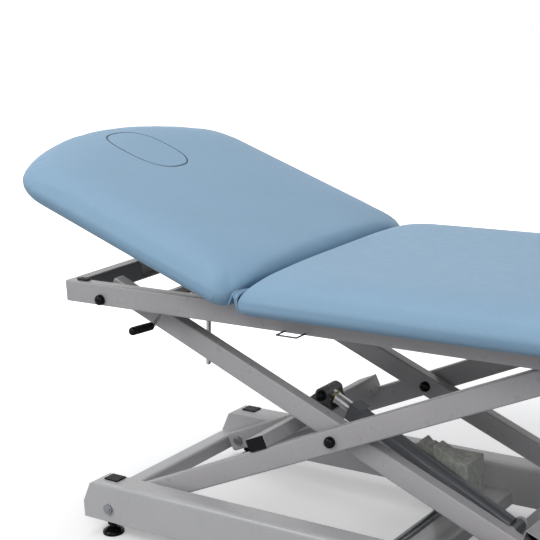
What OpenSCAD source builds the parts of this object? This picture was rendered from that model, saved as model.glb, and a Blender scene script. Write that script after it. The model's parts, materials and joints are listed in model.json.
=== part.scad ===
// Treatment table with a raised head section, scissor lift and long base
// Head end toward -X, near side toward -Y, floor at Z = 0, millimetres

/* [Top frame] */
// Length of the two side rails beyond the foot-end pivots
rail_beyond = 306.7; // [290:0.1:330]
// Width over the outer faces of the side rails
frame_w = 542; // [530:2:560]
// Height of the rail tubes
rail_h = 50; // [48:1:54]
// Width of the rail tubes
rail_t = 30; // [28:1:30]
// Wall of every rectangular tube
tube_wall = 2.5; // [2:0.5:3]

/* [Scissor lift] */
// Distance from the middle pivot to each end pivot
arm_half = 644; // [636:1:650]
// Slope of the arms in the shown pose, degrees
lift_angle = 23; // [22:0.5:24]
// Height of the arm tubes
arm_h = 50; // [46:1:52]
// Width of the arm tubes
arm_t = 30; // [28:1:30]
// Side clearance between a rail and the outer arm
outer_gap = 3; // [3:0.5:4]
// Side clearance between an outer and an inner arm
arm_gap = 7; // [6:0.5:8]
// Distance of the fixed pivots from the head end of the rails
pivot_x = 107.7; // [106:0.1:110]
// Depth of the upper pivots below the rail tops
pivot_drop = 35.5; // [34:0.5:37]
// Length of an arm beyond its end pivot
arm_end = 32; // [30:1:34]
// Radius of the pivot bolts
bolt_r = 8; // [7:0.5:9]
// Radius of the guide rollers
roller_r = 13; // [12:0.5:14]
// Distance from the middle pivots to the cross tube, along the outer arms
cross_back = 169.5; // [165:0.5:174]
// Distance from the middle pivots to the cross tube, along the inner arms
inner_cross = 440; // [400:5:480]
// Width of both cross tubes along the arms
cross_w = 50; // [46:1:54]
// Height of both cross tubes above the arms
cross_t = 30; // [28:1:32]

/* [Cushions] */
// Width of both cushions
pad_w = 752; // [740:2:760]
// Thickness of both cushions
pad_t = 73.4; // [70:0.2:76]
// Length of the seat cushion
seat_l = 1180; // [1150:5:1200]
// Length of the head cushion
back_l = 756; // [740:2:770]
// Raise of the head section in the shown pose, degrees
back_angle = 20.39; // [18:0.01:22]
// Distance of the head cushion's lower inner edge from the head end, as shown
back_x = 549.7; // [548:0.1:551]
// Distance of the seat cushion's front from the head end
seat_x = 563.9; // [563:0.1:566]
// Height of the cushions' undersides above the rails
pad_clear = 4; // [3.8:0.1:5]
// Width over which the long sides curve down
side_run = 154; // [140:2:160]
// Radius of the lower edges
lower_r = 24.1; // [22:0.1:26]
// Length over which the hinged ends curve down
hinge_run = 47.5; // [44:0.5:52]
// Radius of the arched outer ends
end_r = 571; // [560:1:590]
// Radius of the outer corners in plan
corner_r = 137.5; // [125:0.5:150]
// Radius of the inner corners in plan
inner_r = 50; // [44:1:56]
// Thickness of the plywood boards
board_t = 15; // [12:1:16]

/* [Face opening] */
// Length of the face opening
hole_l = 215.5; // [200:0.5:220]
// Width of the face opening
hole_w = 144.8; // [135:0.2:150]
// Distance of the opening's centre from the outer end of the cushion
hole_end = 189.4; // [182:0.2:196]
// Side clearance of the lift-out plug
plug_gap = 0.8; // [0.5:0.1:1.5]

/* [Section hinge and lock] */
// Height of the section hinge above the rails
hinge_z = 30; // [28:0.5:31]
// Radius of the hinge pins
pin_r = 5; // [4:0.5:6]
// Radius of the lock rod
lock_r = 6; // [5:0.5:7]
// Length of the lock rod from its pivot to its end
lock_l = 352; // [346:1:356]
// Distance of the release lever from the head end
lever_x = 262; // [260:1:263]
// Radius of the release lever's rod
lever_r = 5; // [4:0.5:5.5]

/* [Base] */
// Width of the side beams of the base
beam_w = 60; // [55:1:64]
// Height of the side beams of the base
beam_h = 100; // [96:1:104]
// Depth of the lower pivots below the beam tops
pivot_below = 65.76; // [62:0.01:70]
// Height of the undersides of the beams above the floor
under_beam = 42; // [38:1:48]
// Head end of the base from the head end of the rails
base_x0 = 27; // [24:1:30]
// Length of the base beyond the foot-end pivots
base_beyond = 266.7; // [250:0.1:280]
// Wall of the folded base parts
base_wall = 4; // [3:0.5:5]
// Radius of the levelling feet
foot_r = 26; // [22:1:29]

/* [Hydraulic cylinder] */
// Radius of the piston rod
ram_r = 13; // [12:0.5:14]
// Outer radius of the cylinder barrel
barrel_r = 20.5; // [19:0.5:22]
// Distance of the gland's front from the upper eye, as shown
gland_at = 69; // [68:0.5:71]
// Length of the gland block
gland_l = 30; // [26:1:34]

/* [Hidden] */
run = 0.05;
mid_y = frame_w / 2;
hole_u = back_l - hole_end;
// upper and lower end pivots of the arms
top_px = [pivot_x, -pivot_drop];
span_x = arm_half * cos(lift_angle);
span_z = arm_half * sin(lift_angle);
mid_px = [pivot_x + span_x, -pivot_drop - span_z];
low_px = [pivot_x, -pivot_drop - 2 * span_z];
far_x = pivot_x + 2 * span_x;
frame_l = far_x + rail_beyond;
base_x1 = far_x + base_beyond;
// side positions on the near side, mirrored for the far side
outer_y = rail_t + outer_gap;
inner_y = outer_y + arm_t + arm_gap;
beam_y = rail_t - 2 - beam_w;
beam_z = low_px[1] + pivot_below;
frame_top = beam_h + under_beam - beam_z;
cross_h = 36;
cross_z = beam_z - beam_h + cross_h;
// section hinge, with the head section lying flat
hinge_x = back_x + tan(back_angle / 2) * (hinge_z - pad_clear);
flat_x = 2 * hinge_x - back_x;
lug_y = rail_t + 8;
lug_t = 8;
lug_gap = 2;
// lock rod: upper pivot, frame trunnion
lock_top = [221, 95];
lock_lean = 4.745;
lock_len = 185.6;
lock_tx = lock_top[0] - lock_len * sin(lock_lean);
lock_tz = lock_top[1] - lock_len * cos(lock_lean);
lock_bar_x = 235;
lock_bar_w = 16;
// cylinder: upper eye behind the middle pivots and lower eye on the base
eye = [mid_px[0] - 157.51, mid_px[1] + 15.13];
foot_eye = [far_x - 285.31, beam_z - 38];
ram_d = sqrt(pow(foot_eye[0] - eye[0], 2) + pow(foot_eye[1] - eye[1], 2));
ram_a = atan2(eye[1] - foot_eye[1], foot_eye[0] - eye[0]);
ram_gap = 0.5;
ear_in = 24;
ear_t = 8;
// centre of the whole table in X
mid_x = 796.1;
c_vinyl = [0.42, 0.58, 0.74];
c_paint = [0.6, 0.6, 0.62];
c_base = [0.52, 0.53, 0.54];
c_black = [0.08, 0.08, 0.09];
c_chrome = [0.8, 0.8, 0.82];
c_steel = [0.55, 0.56, 0.58];
c_wood = [0.62, 0.48, 0.32];
c_dark = [0.22, 0.25, 0.29];
c_zinc = [0.7, 0.62, 0.3];

// whole table moved so that the floor is at Z = 0 and its middle at the origin
module placed() {
  translate([-mid_x, -mid_y, frame_top])
    children();
}

// copy on the far side of a near-side shape
module far_side() {
  translate([0, frame_w, 0])
    mirror([0, 1, 0])
      children();
}

module both_sides() {
  children();
  far_side()
    children();
}

module box(a, b) {
  translate(a)
    cube([b[0] - a[0], b[1] - a[1], b[2] - a[2]]);
}

module tube_x(a, b) {
  difference() {
    box(a, b);
    box([a[0] - 1, a[1] + tube_wall, a[2] + tube_wall], [b[0] + 1, b[1] - tube_wall, b[2] - tube_wall]);
  }
}

module tube_y(a, b) {
  difference() {
    box(a, b);
    box([a[0] + tube_wall, a[1] - 1, a[2] + tube_wall], [b[0] - tube_wall, b[1] + 1, b[2] - tube_wall]);
  }
}

// round bar along Y
module bar_y(p, y0, y1, r) {
  translate([p[0], y0, p[1]])
    rotate([-90, 0, 0])
      cylinder(h = y1 - y0, r = r, $fn = 64);
}

// dome with its flat side at y, bulging toward -Y
module dome(p, y, r, h) {
  translate([p[0], y, p[1]])
    rotate([90, 0, 0])
      rotate_extrude($fn = 64)
        polygon([[0, 0], [r, 0], [r, h * 0.35], [r * 0.93, h * 0.6], [r * 0.76, h * 0.82],
          [r * 0.45, h * 0.96], [0, h]]);
}

// outline of a cushion, hinged end at x = 0, outer end at x = length
function arc(c, r, a0, a1, n) = [for (i = [0:n]) [c[0] + r * cos(a0 + (a1 - a0) * i / n),
  c[1] + r * sin(a0 + (a1 - a0) * i / n)]];
function outline(len, inset, inset_x) =
  let (
    hw = pad_w / 2 - inset,
    ri = max(inner_r - inset, 10),
    rc = max(corner_r - inset, 8),
    re = end_r - inset,
    dy = hw - rc,
    dx = sqrt(pow(re - rc, 2) - dy * dy),
    cx = len - end_r,
    a = atan2(dy, dx)
  )
  concat(
    arc([inset_x + ri, -hw + ri], ri, 180, 270, 6),
    arc([cx + dx, -dy], rc, -90, -a, 9),
    [for (i = [1:13]) [cx + re * cos(-a + 2 * a * i / 14), re * sin(-a + 2 * a * i / 14)]],
    arc([cx + dx, dy], rc, a, 90, 9),
    arc([inset_x + ri, hw - ri], ri, 90, 180, 6)
  );
function ring(pts, z) = [for (p = pts) [p[0], p[1], z]];
function oblong(l, w, n) = [for (i = [0:n - 1])
  let (t = 360 * i / n, c = cos(t), s = sin(t))
  [l / 2 * sign(c) * pow(abs(c), 0.8), w / 2 * sign(s) * pow(abs(s), 0.8)]];

// closed skin over a stack of equal rings, lowest ring first
module skin(rings) {
  n = len(rings[0]);
  m = len(rings);
  polyhedron(
    points = [for (r = rings) for (p = r) p],
    faces = concat(
      [[for (i = [0:n - 1]) i]],
      [for (j = [0:m - 2]) for (i = [0:n - 1]) [j * n + i, (j + 1) * n + i, j * n + (i + 1) % n]],
      [for (j = [0:m - 2]) for (i = [0:n - 1]) [j * n + (i + 1) % n, (j + 1) * n + i,
        (j + 1) * n + (i + 1) % n]],
      [[for (i = [n - 1:-1:0]) (m - 1) * n + i]]
    )
  );
}

low_steps = [90, 60, 30];
high_steps = [0, 13, 26, 39, 52, 65, 78, 90];
module cushion(len) {
  skin(concat(
    [for (t = low_steps) ring(outline(len, lower_r * (1 - cos(t)), lower_r * (1 - cos(t))),
      lower_r * (1 - sin(t)))],
    [for (t = high_steps) ring(outline(len, side_run * (1 - cos(t)), hinge_run * (1 - cos(t))),
      lower_r + (pad_t - lower_r) * sin(t))]
  ));
}

board_in = 36;
board_gap = 0.2;
module board(len, grow, top) {
  translate([0, 0, grow > 0 ? -1 : 0])
    linear_extrude(height = top + (grow > 0 ? 1 : 0))
      polygon(outline(len, board_in - grow, board_in - grow));
}

// head section parts are drawn lying flat, then turned up about the hinge
module raised() {
  translate([hinge_x, 0, hinge_z])
    rotate([0, back_angle, 0])
      translate([-hinge_x, 0, -hinge_z])
        children();
}

// head cushion space: hinged end at the hinge, outer end toward -X
module back_space() {
  translate([flat_x, mid_y, pad_clear])
    mirror([1, 0, 0])
      children();
}

module hole_cut(l, w, z0, z1) {
  translate([hole_u, 0, z0])
    linear_extrude(height = z1 - z0)
      polygon(oblong(l, w, 40));
}

// Top frame
module rail_hole() {
  bar_y(top_px, -1, rail_t + 1, bolt_r + run);
}

module rail() {
  difference() {
    union() {
      tube_x([0, 0, -rail_h], [frame_l, rail_t, 0]);
      box([0, 0.5, -rail_h + 0.5], [tube_wall, rail_t - 0.5, -0.5]);
    }
    rail_hole();
  }
}

module rail_near() {
  color(c_paint)
    rail();
}

module rail_far() {
  color(c_paint)
    far_side()
      rail();
}

module head_crossbar() {
  color(c_paint) {
    box([0, rail_t, -rail_h], [3, frame_w - rail_t, 0]);
    box([2.9, rail_t, -3], [rail_t, frame_w - rail_t, 0]);
    box([2.9, rail_t, -rail_h], [rail_t, frame_w - rail_t, -rail_h + 3]);
  }
}

module crossbar_plate() {
  color(c_dark)
    translate([rail_t - 4.5, 0, 0])
      rotate([90, 0, 90])
        linear_extrude(height = 4)
          polygon([[rail_t + 0.5, -rail_h + 3.2], [mid_y - 34, -rail_h + 3.2], [mid_y - 34, -14],
            [mid_y - 44, -3.2], [rail_t + 0.5, -3.2]]);
}

mid_bar_x = 567;
module mid_crossbar() {
  color(c_paint)
    tube_y([mid_bar_x, rail_t, -rail_h], [mid_bar_x + 30, frame_w - rail_t, 0]);
}

guide_x0 = far_x - 175.3;
guide_x1 = far_x + 118.7;
bar_h = 18;
module guide_bar(x) {
  tube_y([x, rail_t, -bar_h], [x + 30, frame_w - rail_t, 0]);
}

module guide_bar_a() {
  color(c_paint)
    guide_bar(guide_x0 - 8);
}

module guide_bar_b() {
  color(c_paint)
    guide_bar(guide_x1 - 26);
}

module foot_crossbar() {
  color(c_paint)
    tube_y([frame_l - rail_t, rail_t, -rail_h], [frame_l, frame_w - rail_t, 0]);
}

module rail_end_caps() {
  color(c_black)
    both_sides() {
      box([frame_l, 0.4, -rail_h + 0.4], [frame_l + 3, rail_t - 0.4, -0.4]);
      box([frame_l - 12, tube_wall + 0.2, -rail_h + tube_wall + 0.2],
        [frame_l + 0.1, rail_t - tube_wall - 0.2, -tube_wall - 0.2]);
    }
}

// C-shaped track, open toward the arm that carries the roller
guide_room = 2 * roller_r + 0.6;
guide_wall = 4;
module upper_guide() {
  y0 = outer_y + arm_t + 4;
  y1 = y0 + 31;
  z1 = -pivot_drop + guide_room / 2;
  z0 = -pivot_drop - guide_room / 2;
  difference() {
    box([guide_x0, y0, z0 - guide_wall], [guide_x1, y1, -bar_h]);
    box([guide_x0 - 1, y0 - 1, z0], [guide_x1 + 1, y1 - guide_wall, z1]);
  }
}

module upper_guide_near() {
  color(c_steel)
    upper_guide();
}

module upper_guide_far() {
  color(c_steel)
    far_side()
      upper_guide();
}

module back_buffers() {
  color(c_black)
    both_sides()
      translate([22, 11, 0])
        linear_extrude(height = pad_clear - 0.3)
          polygon(concat(arc([9, 9], 9, 90, 270, 10), arc([27, 9], 9, -90, 90, 10)));
}

module seat_strips() {
  color(c_black)
    both_sides()
      box([mid_bar_x + 37, 4, 0], [frame_l - 10, rail_t - 4, pad_clear]);
}

module seat_board() {
  color(c_wood)
    translate([seat_x, mid_y, pad_clear])
      board(seat_l, 0, board_t);
}

module seat_pad() {
  color(c_vinyl)
    translate([seat_x, mid_y, pad_clear])
      difference() {
        cushion(seat_l);
        board(seat_l, board_gap, board_t + board_gap);
      }
}

loop_r = 1.75;
loop_x = 622;
loop_w = 50;
loop_out = 32;
loop_z = -rail_h + 4;
module wire_loop() {
  color(c_chrome) {
    for (x = [loop_x, loop_x + loop_w])
      bar_y([x, loop_z], -loop_out, 0, loop_r);
    for (x = [loop_x, loop_x + loop_w])
      translate([x, -loop_out, loop_z])
        sphere(r = loop_r, $fn = 32);
    translate([loop_x, -loop_out, loop_z])
      rotate([0, 90, 0])
        cylinder(h = loop_w, r = loop_r, $fn = 32);
  }
}

// bolt through the rail and the inner arm, with a spacer between them
module top_pivot_bolts() {
  color(c_steel)
    both_sides() {
      bar_y(top_px, -0.5, inner_y + arm_t + 8, bolt_r);
      difference() {
        bar_y(top_px, rail_t + 0.1, inner_y - 0.1, 15);
        bar_y(top_px, rail_t - 1, inner_y + 1, bolt_r - 0.1);
      }
      bar_y(top_px, inner_y + arm_t + 0.2, inner_y + arm_t + 7, 13);
    }
}

module top_pivot_caps() {
  color(c_black)
    both_sides()
      difference() {
        dome(top_px, -0.1, 12.5, 9);
        bar_y(top_px, -0.6, 1, bolt_r + run);
      }
}

module lug(y0, x0, x1, z0, z1, r) {
  translate([0, y0 + lug_t, 0])
    rotate([90, 0, 0])
      linear_extrude(height = lug_t)
        difference() {
          union() {
            translate([hinge_x, hinge_z])
              circle(r = r, $fn = 64);
            translate([x0, z0])
              square([x1 - x0, z1 - z0]);
            translate([hinge_x - r * 0.94, z1 - 1])
              square([2 * r * 0.94, hinge_z - z1 + 1]);
          }
          translate([hinge_x, hinge_z])
            circle(r = pin_r + run, $fn = 64);
        }
}

module frame_lugs() {
  color(c_steel)
    both_sides()
      lug(lug_y, hinge_x - 7.5, mid_bar_x, -32, 4, 8);
}

module lock_bar() {
  color(c_paint) {
    tube_y([lock_bar_x, rail_t, -40], [lock_bar_x + lock_bar_w, frame_w - rail_t, -20]);
    for (y = [mid_y - 24, mid_y + 20])
      translate([0, y + 4, 0])
        rotate([90, 0, 0])
          linear_extrude(height = 4)
            union() {
              translate([lock_tx, lock_tz])
                circle(r = 13, $fn = 48);
              polygon([[lock_tx - 11, lock_tz + 7], [lock_tx + 2, lock_tz - 12.6],
                [lock_bar_x + lock_bar_w - 1, -60], [lock_bar_x + lock_bar_w - 1, -40.2],
                [lock_bar_x + 1, -40.2]]);
            }
    for (y = [mid_y - 24, mid_y + 20])
      box([lock_bar_x + 1, y, -40.3], [lock_bar_x + lock_bar_w - 1, y + 4, -39.9]);
  }
}

lever_py = rail_t + 18;
lever_pz = -rail_h + 9;
module lever_bracket() {
  color(c_steel) {
    for (x = [lever_x - 10.4, lever_x + 6.8])
      difference() {
        box([x, rail_t, lever_pz - 12], [x + 3.6, lever_py + 11, lever_pz + 12]);
        translate([x - 1, lever_py, lever_pz])
          rotate([0, 90, 0])
            cylinder(h = 6, r = 4 - 0.1, $fn = 48);
      }
    translate([lever_x - 10.8, lever_py, lever_pz])
      rotate([0, 90, 0])
        cylinder(h = 22.4, r = 4, $fn = 48);
  }
}

module hinge_gusset() {
  color(c_vinyl)
    both_sides() {
      bar_y([(flat_x + seat_x) / 2, pad_clear + 8], -96, lug_y - 4, 6);
      box([(flat_x + seat_x) / 2 - 3, 3, 0], [(flat_x + seat_x) / 2 + 3, rail_t - 3, pad_clear + 4]);
    }
}

// Head section
module back_board() {
  color(c_wood)
    raised()
      back_space()
        difference() {
          board(back_l, 0, board_t);
          hole_cut(hole_l - 26, hole_w - 26, -1, board_t + 1);
        }
}

module back_frame() {
  color(c_paint)
    raised() {
      for (y = [mid_y - 149, mid_y + 119])
        box([hinge_x - back_l + 261.6, y, -16], [hinge_x - 36.4, y + 30, pad_clear]);
      box([hinge_x - 38.4, lug_y + lug_t + lug_gap, -16],
        [hinge_x - 13.4, frame_w - lug_y - lug_t - lug_gap, pad_clear]);
      both_sides()
        lug(lug_y + lug_t + lug_gap, hinge_x - 24.4, hinge_x + 6, -16, 4, 8);
      // plate and ears that carry the lock rod
      box([lock_top[0] - 21, mid_y - 120, -2], [lock_top[0] + 23, mid_y + 120, pad_clear]);
      for (y = [mid_y - 13, mid_y + 8])
        translate([0, y + 5, 0])
          rotate([90, 0, 0])
            linear_extrude(height = 5)
              lock_ear();
    }
}

// upper pivot of the lock rod, in the flat position of the head section
lock_fx = hinge_x + (lock_top[0] - hinge_x) * cos(back_angle) - (lock_top[1] - hinge_z) * sin(back_angle);
lock_fz = hinge_z + (lock_top[0] - hinge_x) * sin(back_angle) + (lock_top[1] - hinge_z) * cos(back_angle);
module lock_ear() {
  difference() {
    union() {
      translate([lock_fx, lock_fz])
        circle(r = 10, $fn = 48);
      translate([lock_fx - 10, lock_fz])
        square([20, -1 - lock_fz]);
    }
    translate([lock_fx, lock_fz])
      circle(r = 4 + 0.02, $fn = 48);
  }
}

module back_pad() {
  color(c_vinyl)
    raised()
      difference() {
        back_space()
          difference() {
            cushion(back_l);
            board(back_l, board_gap, board_t + board_gap);
            hole_cut(hole_l, hole_w, board_t - 1, pad_t + 5);
          }
        both_sides()
          translate([0, lug_y - 2, 0]) {
            box([hinge_x - 10.5, 0, -5], [flat_x + 5, 2 * lug_t + lug_gap + 4, hinge_z]);
            translate([hinge_x, 0, hinge_z])
              rotate([-90, 0, 0])
                cylinder(h = 2 * lug_t + lug_gap + 4, r = 10.5, $fn = 24);
          }
      }
}

module hinge_pins() {
  color(c_steel) {
    both_sides()
      bar_y([hinge_x, hinge_z], lug_y - 1.5, lug_y + 2 * lug_t + lug_gap + 1.5, pin_r);
    bar_y(lock_top, mid_y - 14, mid_y + 14, 4);
  }
}

module face_plug() {
  l = hole_l - 2 * plug_gap;
  w = hole_w - 2 * plug_gap;
  z0 = board_t + 0.2;
  color(c_vinyl)
    raised()
      back_space()
        translate([hole_u, 0, 0])
          skin([
            ring(oblong(l - 4, w - 4, 40), z0),
            ring(oblong(l, w, 40), z0 + 4),
            ring(oblong(l, w, 40), pad_t - 5),
            ring(oblong(l - 2.4, w - 2.4, 40), pad_t - 1.6),
            ring(oblong(l - 9, w - 9, 40), pad_t)
          ]);
}

module along_lock() {
  translate([lock_top[0], mid_y, lock_top[1]])
    rotate([0, 180 + lock_lean, 0])
      children();
}

module lock_rod() {
  color(c_chrome) {
    difference() {
      union() {
        along_lock()
          cylinder(h = lock_l - 3, r = lock_r, $fn = 64);
        bar_y(lock_top, mid_y - 7.5, mid_y + 7.5, 9);
      }
      bar_y(lock_top, mid_y - 9, mid_y + 9, 4 + run);
    }
    along_lock()
      translate([0, 0, lock_l - 3.1])
        cylinder(h = 3.1, r1 = lock_r, r2 = lock_r - 2.5, $fn = 64);
  }
}

module lock_housing() {
  color(c_dark)
    difference() {
      union() {
        along_lock()
          translate([0, 0, lock_len - 30])
            cylinder(h = 60, r = 14, $fn = 64);
        bar_y([lock_tx, lock_tz], mid_y - 20 + ram_gap, mid_y + 20 - ram_gap, 5);
        // release tongue
        along_lock()
          translate([-34, -6, lock_len - 27])
            cube([24, 12, 5]);
      }
      along_lock()
        translate([0, 0, lock_len - 40])
          cylinder(h = 80, r = lock_r + run, $fn = 64);
    }
}

// Release lever, turning about the X line through its bracket
module rod_between(a, b, r) {
  d = b - a;
  l = norm(d);
  translate(a)
    rotate([0, acos(d[2] / l), atan2(d[1], d[0])])
      cylinder(h = l, r = r, $fn = 32);
}

lever_pts = [[lever_x, rail_t - 32, -rail_h - 27.7], [lever_x, rail_t - 2.4, -rail_h - 9.7],
  [lever_x, lever_py, lever_pz], [lever_x, mid_y - 25, lever_pz]];
module release_lever() {
  color(c_chrome)
    difference() {
      union() {
        for (i = [0:2])
          rod_between(lever_pts[i], lever_pts[i + 1], lever_r);
        for (i = [0:1])
          translate(lever_pts[i])
            sphere(r = lever_r + 0.3, $fn = 32);
        translate([lever_x - 6.5, lever_py, lever_pz])
          rotate([0, 90, 0])
            cylinder(h = 13, r = 8, $fn = 48);
        rod_between(lever_pts[0], lever_pts[0] + [0, -12, 0.84], lever_r);
      }
      translate([lever_x - 10, lever_py, lever_pz])
        rotate([0, 90, 0])
          cylinder(h = 20, r = 4 + run, $fn = 48);
    }
}

module lever_grip() {
  color(c_black)
    translate(lever_pts[0] + [0, -6, 0.42])
      rotate([90 - 4, 0, 0])
        difference() {
          rotate_extrude($fn = 48)
            polygon(concat(
              [[0, 0], [8.6, 0], [9.5, 2]],
              [for (i = [0:9]) for (q = [[9.5, 4 + 5.6 * i], [8.9, 5 + 5.6 * i], [8.9, 6.4 + 5.6 * i],
                [9.5, 7.4 + 5.6 * i]]) q],
              [[9.5, 62], [8.4, 66], [5, 68.6], [0, 69.4]]
            ));
          translate([0, 0, -1])
            cylinder(h = 7.5, r = lever_r + run, $fn = 32);
        }
}

// Base
module beam_section() {
  difference() {
    translate([beam_y, beam_z - beam_h])
      union() {
        square([beam_w, beam_h - 12]);
        translate([12, 0])
          square([beam_w - 24, beam_h]);
        translate([12, beam_h - 12])
          circle(r = 12, $fn = 48);
        translate([beam_w - 12, beam_h - 12])
          circle(r = 12, $fn = 48);
      }
    translate([beam_y + base_wall, beam_z - beam_h - 1])
      square([beam_w - 2 * base_wall, beam_h - 12 + 1]);
  }
}

module beam_side(g) {
  polygon([[base_x0 + g, beam_z - beam_h - 2 + 2 * g], [base_x0 + g, beam_z - 60],
    [base_x0 + 24 + g * 0.8, beam_z - 12 - g * 0.4],
    [base_x0 + 45 + g * 0.4, beam_z - g], [base_x1 - 45 - g * 0.4, beam_z - g],
      [base_x1 - 24 - g * 0.8, beam_z - 12 - g * 0.4],
    [base_x1 - g, beam_z - 60], [base_x1 - g, beam_z - beam_h - 2 + 2 * g]]);
}

pedal_p = [foot_eye[0] - 173, beam_z - 27];
module beam() {
  difference() {
    union() {
      intersection() {
        translate([base_x0 - 5, 0, 0])
          rotate([90, 0, 90])
            linear_extrude(height = base_x1 - base_x0 + 10)
              beam_section();
        translate([0, beam_y + beam_w + 5, 0])
          rotate([90, 0, 0])
            linear_extrude(height = beam_w + 10)
              beam_side(0);
      }
      // closed ends of the folded beam
      translate([0, beam_y + beam_w - 1, 0])
        rotate([90, 0, 0])
          linear_extrude(height = beam_w - 2)
            polygon([[base_x0, beam_z - beam_h + 0.1], [base_x0, beam_z - 60],
              [base_x0 + 24, beam_z - 12.1], [base_x0 + 30, beam_z - 14], [base_x0 + 8, beam_z - 60],
              [base_x0 + 4, beam_z - beam_h + 0.1]]);
      translate([0, beam_y + beam_w - 1, 0])
        rotate([90, 0, 0])
          linear_extrude(height = beam_w - 2)
            polygon([[base_x1, beam_z - beam_h + 0.1], [base_x1, beam_z - 60],
              [base_x1 - 24, beam_z - 12.1], [base_x1 - 30, beam_z - 14], [base_x1 - 8, beam_z - 60],
              [base_x1 - 4, beam_z - beam_h + 0.1]]);
      // bearing boss of the lower arm pivot
      bar_y(low_px, beam_y + 1, beam_y + beam_w, 20);
      // seats of the levelling feet
      for (x = [base_x0 + 62, base_x1 - 62])
        box([x - 22, beam_y + base_wall - 0.5, beam_z - beam_h],
          [x + 22, beam_y + beam_w - base_wall + 0.5, beam_z - beam_h + 6]);
    }
    bar_y(low_px, beam_y - 1, beam_y + beam_w + 1, bolt_r + run);
  }
}

module base_beam_near() {
  color(c_base)
    difference() {
      beam();
      bar_y(pedal_p, beam_y - 1, beam_y + beam_w + 1, 10 + run);
    }
}

module base_beam_far() {
  color(c_base)
    far_side()
      beam();
}

module cross_beam(x0, x1) {
  y0 = beam_y + beam_w;
  y1 = frame_w - y0;
  translate([0, y0, 0])
    rotate([-90, 0, 0])
      linear_extrude(height = y1 - y0)
        difference() {
          translate([x0, -cross_z])
            union() {
              translate([0, 8])
                square([x1 - x0, cross_h - 8]);
              translate([8, 0])
                square([x1 - x0 - 16, cross_h]);
              translate([8, 8])
                circle(r = 8, $fn = 32);
              translate([x1 - x0 - 8, 8])
                circle(r = 8, $fn = 32);
            }
          translate([x0 + base_wall, -cross_z + 8])
            square([x1 - x0 - 2 * base_wall, cross_h]);
        }
}

module base_cross_head() {
  color(c_base)
    cross_beam(base_x0 - 8, base_x0 + 38);
}

module base_cross_mid() {
  color(c_base) {
    cross_beam(foot_eye[0] - 32, foot_eye[0] + 32);
    for (y = [mid_y - ear_in - ear_t, mid_y + ear_in])
      translate([0, y + 8, 0])
        rotate([90, 0, 0])
          linear_extrude(height = 8)
            union() {
              translate(foot_eye)
                circle(r = 17, $fn = 48);
              translate([foot_eye[0] - 24, cross_z - 2])
                square([48, 8]);
              polygon([[foot_eye[0] - 17, foot_eye[1]], [foot_eye[0] - 24, cross_z],
                [foot_eye[0] + 24, cross_z], [foot_eye[0] + 17, foot_eye[1]]]);
            }
    cross_beam(pedal_p[0] - 50, pedal_p[0] + 50);
  }
}

module base_cross_foot() {
  color(c_base)
    cross_beam(base_x1 - 90, base_x1 - 20);
}

module lower_guides() {
  y0 = beam_y + beam_w;
  y1 = inner_y - 4;
  z1 = low_px[1] + guide_room / 2;
  z0 = low_px[1] - guide_room / 2;
  color(c_steel)
    both_sides()
      difference() {
        box([guide_x0, y0, z0 - guide_wall], [guide_x1, y1, z1 + guide_wall]);
        box([guide_x0 - 1, y0 + guide_wall, z0], [guide_x1 + 1, y1 + 1, z1]);
      }
}

module base_pads() {
  color(c_black)
    both_sides()
      box([base_x0 + 61, beam_y + 14, beam_z], [base_x0 + 101, beam_y + beam_w - 14, beam_z + 4]);
}

module base_pivot_bolts() {
  color(c_steel)
    both_sides() {
      bar_y(low_px, beam_y - 8, outer_y + arm_t + 7, bolt_r);
      difference() {
        bar_y(low_px, beam_y + beam_w + 0.1, outer_y - 0.1, 11);
        bar_y(low_px, beam_y + beam_w, outer_y, bolt_r - 0.1);
      }
      bar_y(low_px, outer_y + arm_t + 0.2, outer_y + arm_t + 6, 12.5);
      bar_y(low_px, beam_y - 6, beam_y - 0.1, 12.5);
    }
}

module levelling_feet() {
  z0 = -frame_top;
  z1 = beam_z - beam_h;
  color(c_black)
    both_sides()
      for (x = [base_x0 + 62, base_x1 - 62])
        translate([x, beam_y + beam_w / 2, z0]) {
          rotate_extrude($fn = 64)
            polygon([[0, 0], [foot_r - 2, 0], [foot_r, 2], [foot_r, 8], [foot_r - 8, 14], [9, 18],
              [0, 18]]);
          translate([0, 0, 17])
            cylinder(h = z1 - z0 - 17, r = 8, $fn = 48);
          translate([0, 0, 24])
            cylinder(h = 7, r = 13, $fn = 6);
        }
}

// pump standing on the middle cross beam, beside the cylinder; drawn from the pedal's axle
pump_y = mid_y + ear_in + ear_t - 1;
module pump_unit() {
  color(c_dark)
    difference() {
      translate([pedal_p[0], 0, pedal_p[1]])
        union() {
          box([-45, pump_y, cross_z - pedal_p[1]], [45, pump_y + 80, 100]);
          translate([0, pump_y + 44, 0])
            rotate([90, 0, 0])
              linear_extrude(height = 38)
                polygon([[-44, 99.5], [19, 99.5], [-36, 128], [-41, 128], [-44, 124]]);
          // casting with a pointed top and a round valve boss toward the head
          translate([0, pump_y + 54, 0])
            rotate([90, 0, 0])
              linear_extrude(height = 36)
                polygon([[-44.5, 30], [-92, 70], [-99, 92], [-93, 113], [-83, 130], [-79, 130],
                  [-69, 120], [-62, 121],
                  [-55, 117], [-44.5, 104]]);
          bar_y([-107, 97], pump_y + 18, pump_y + 48, 11.5);
          box([-105, pump_y + 23, 87], [-90, pump_y + 43, 100]);
        }
      bar_y(pedal_p, pump_y - 2, pump_y + 28, 10 + run);
    }
}

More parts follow.
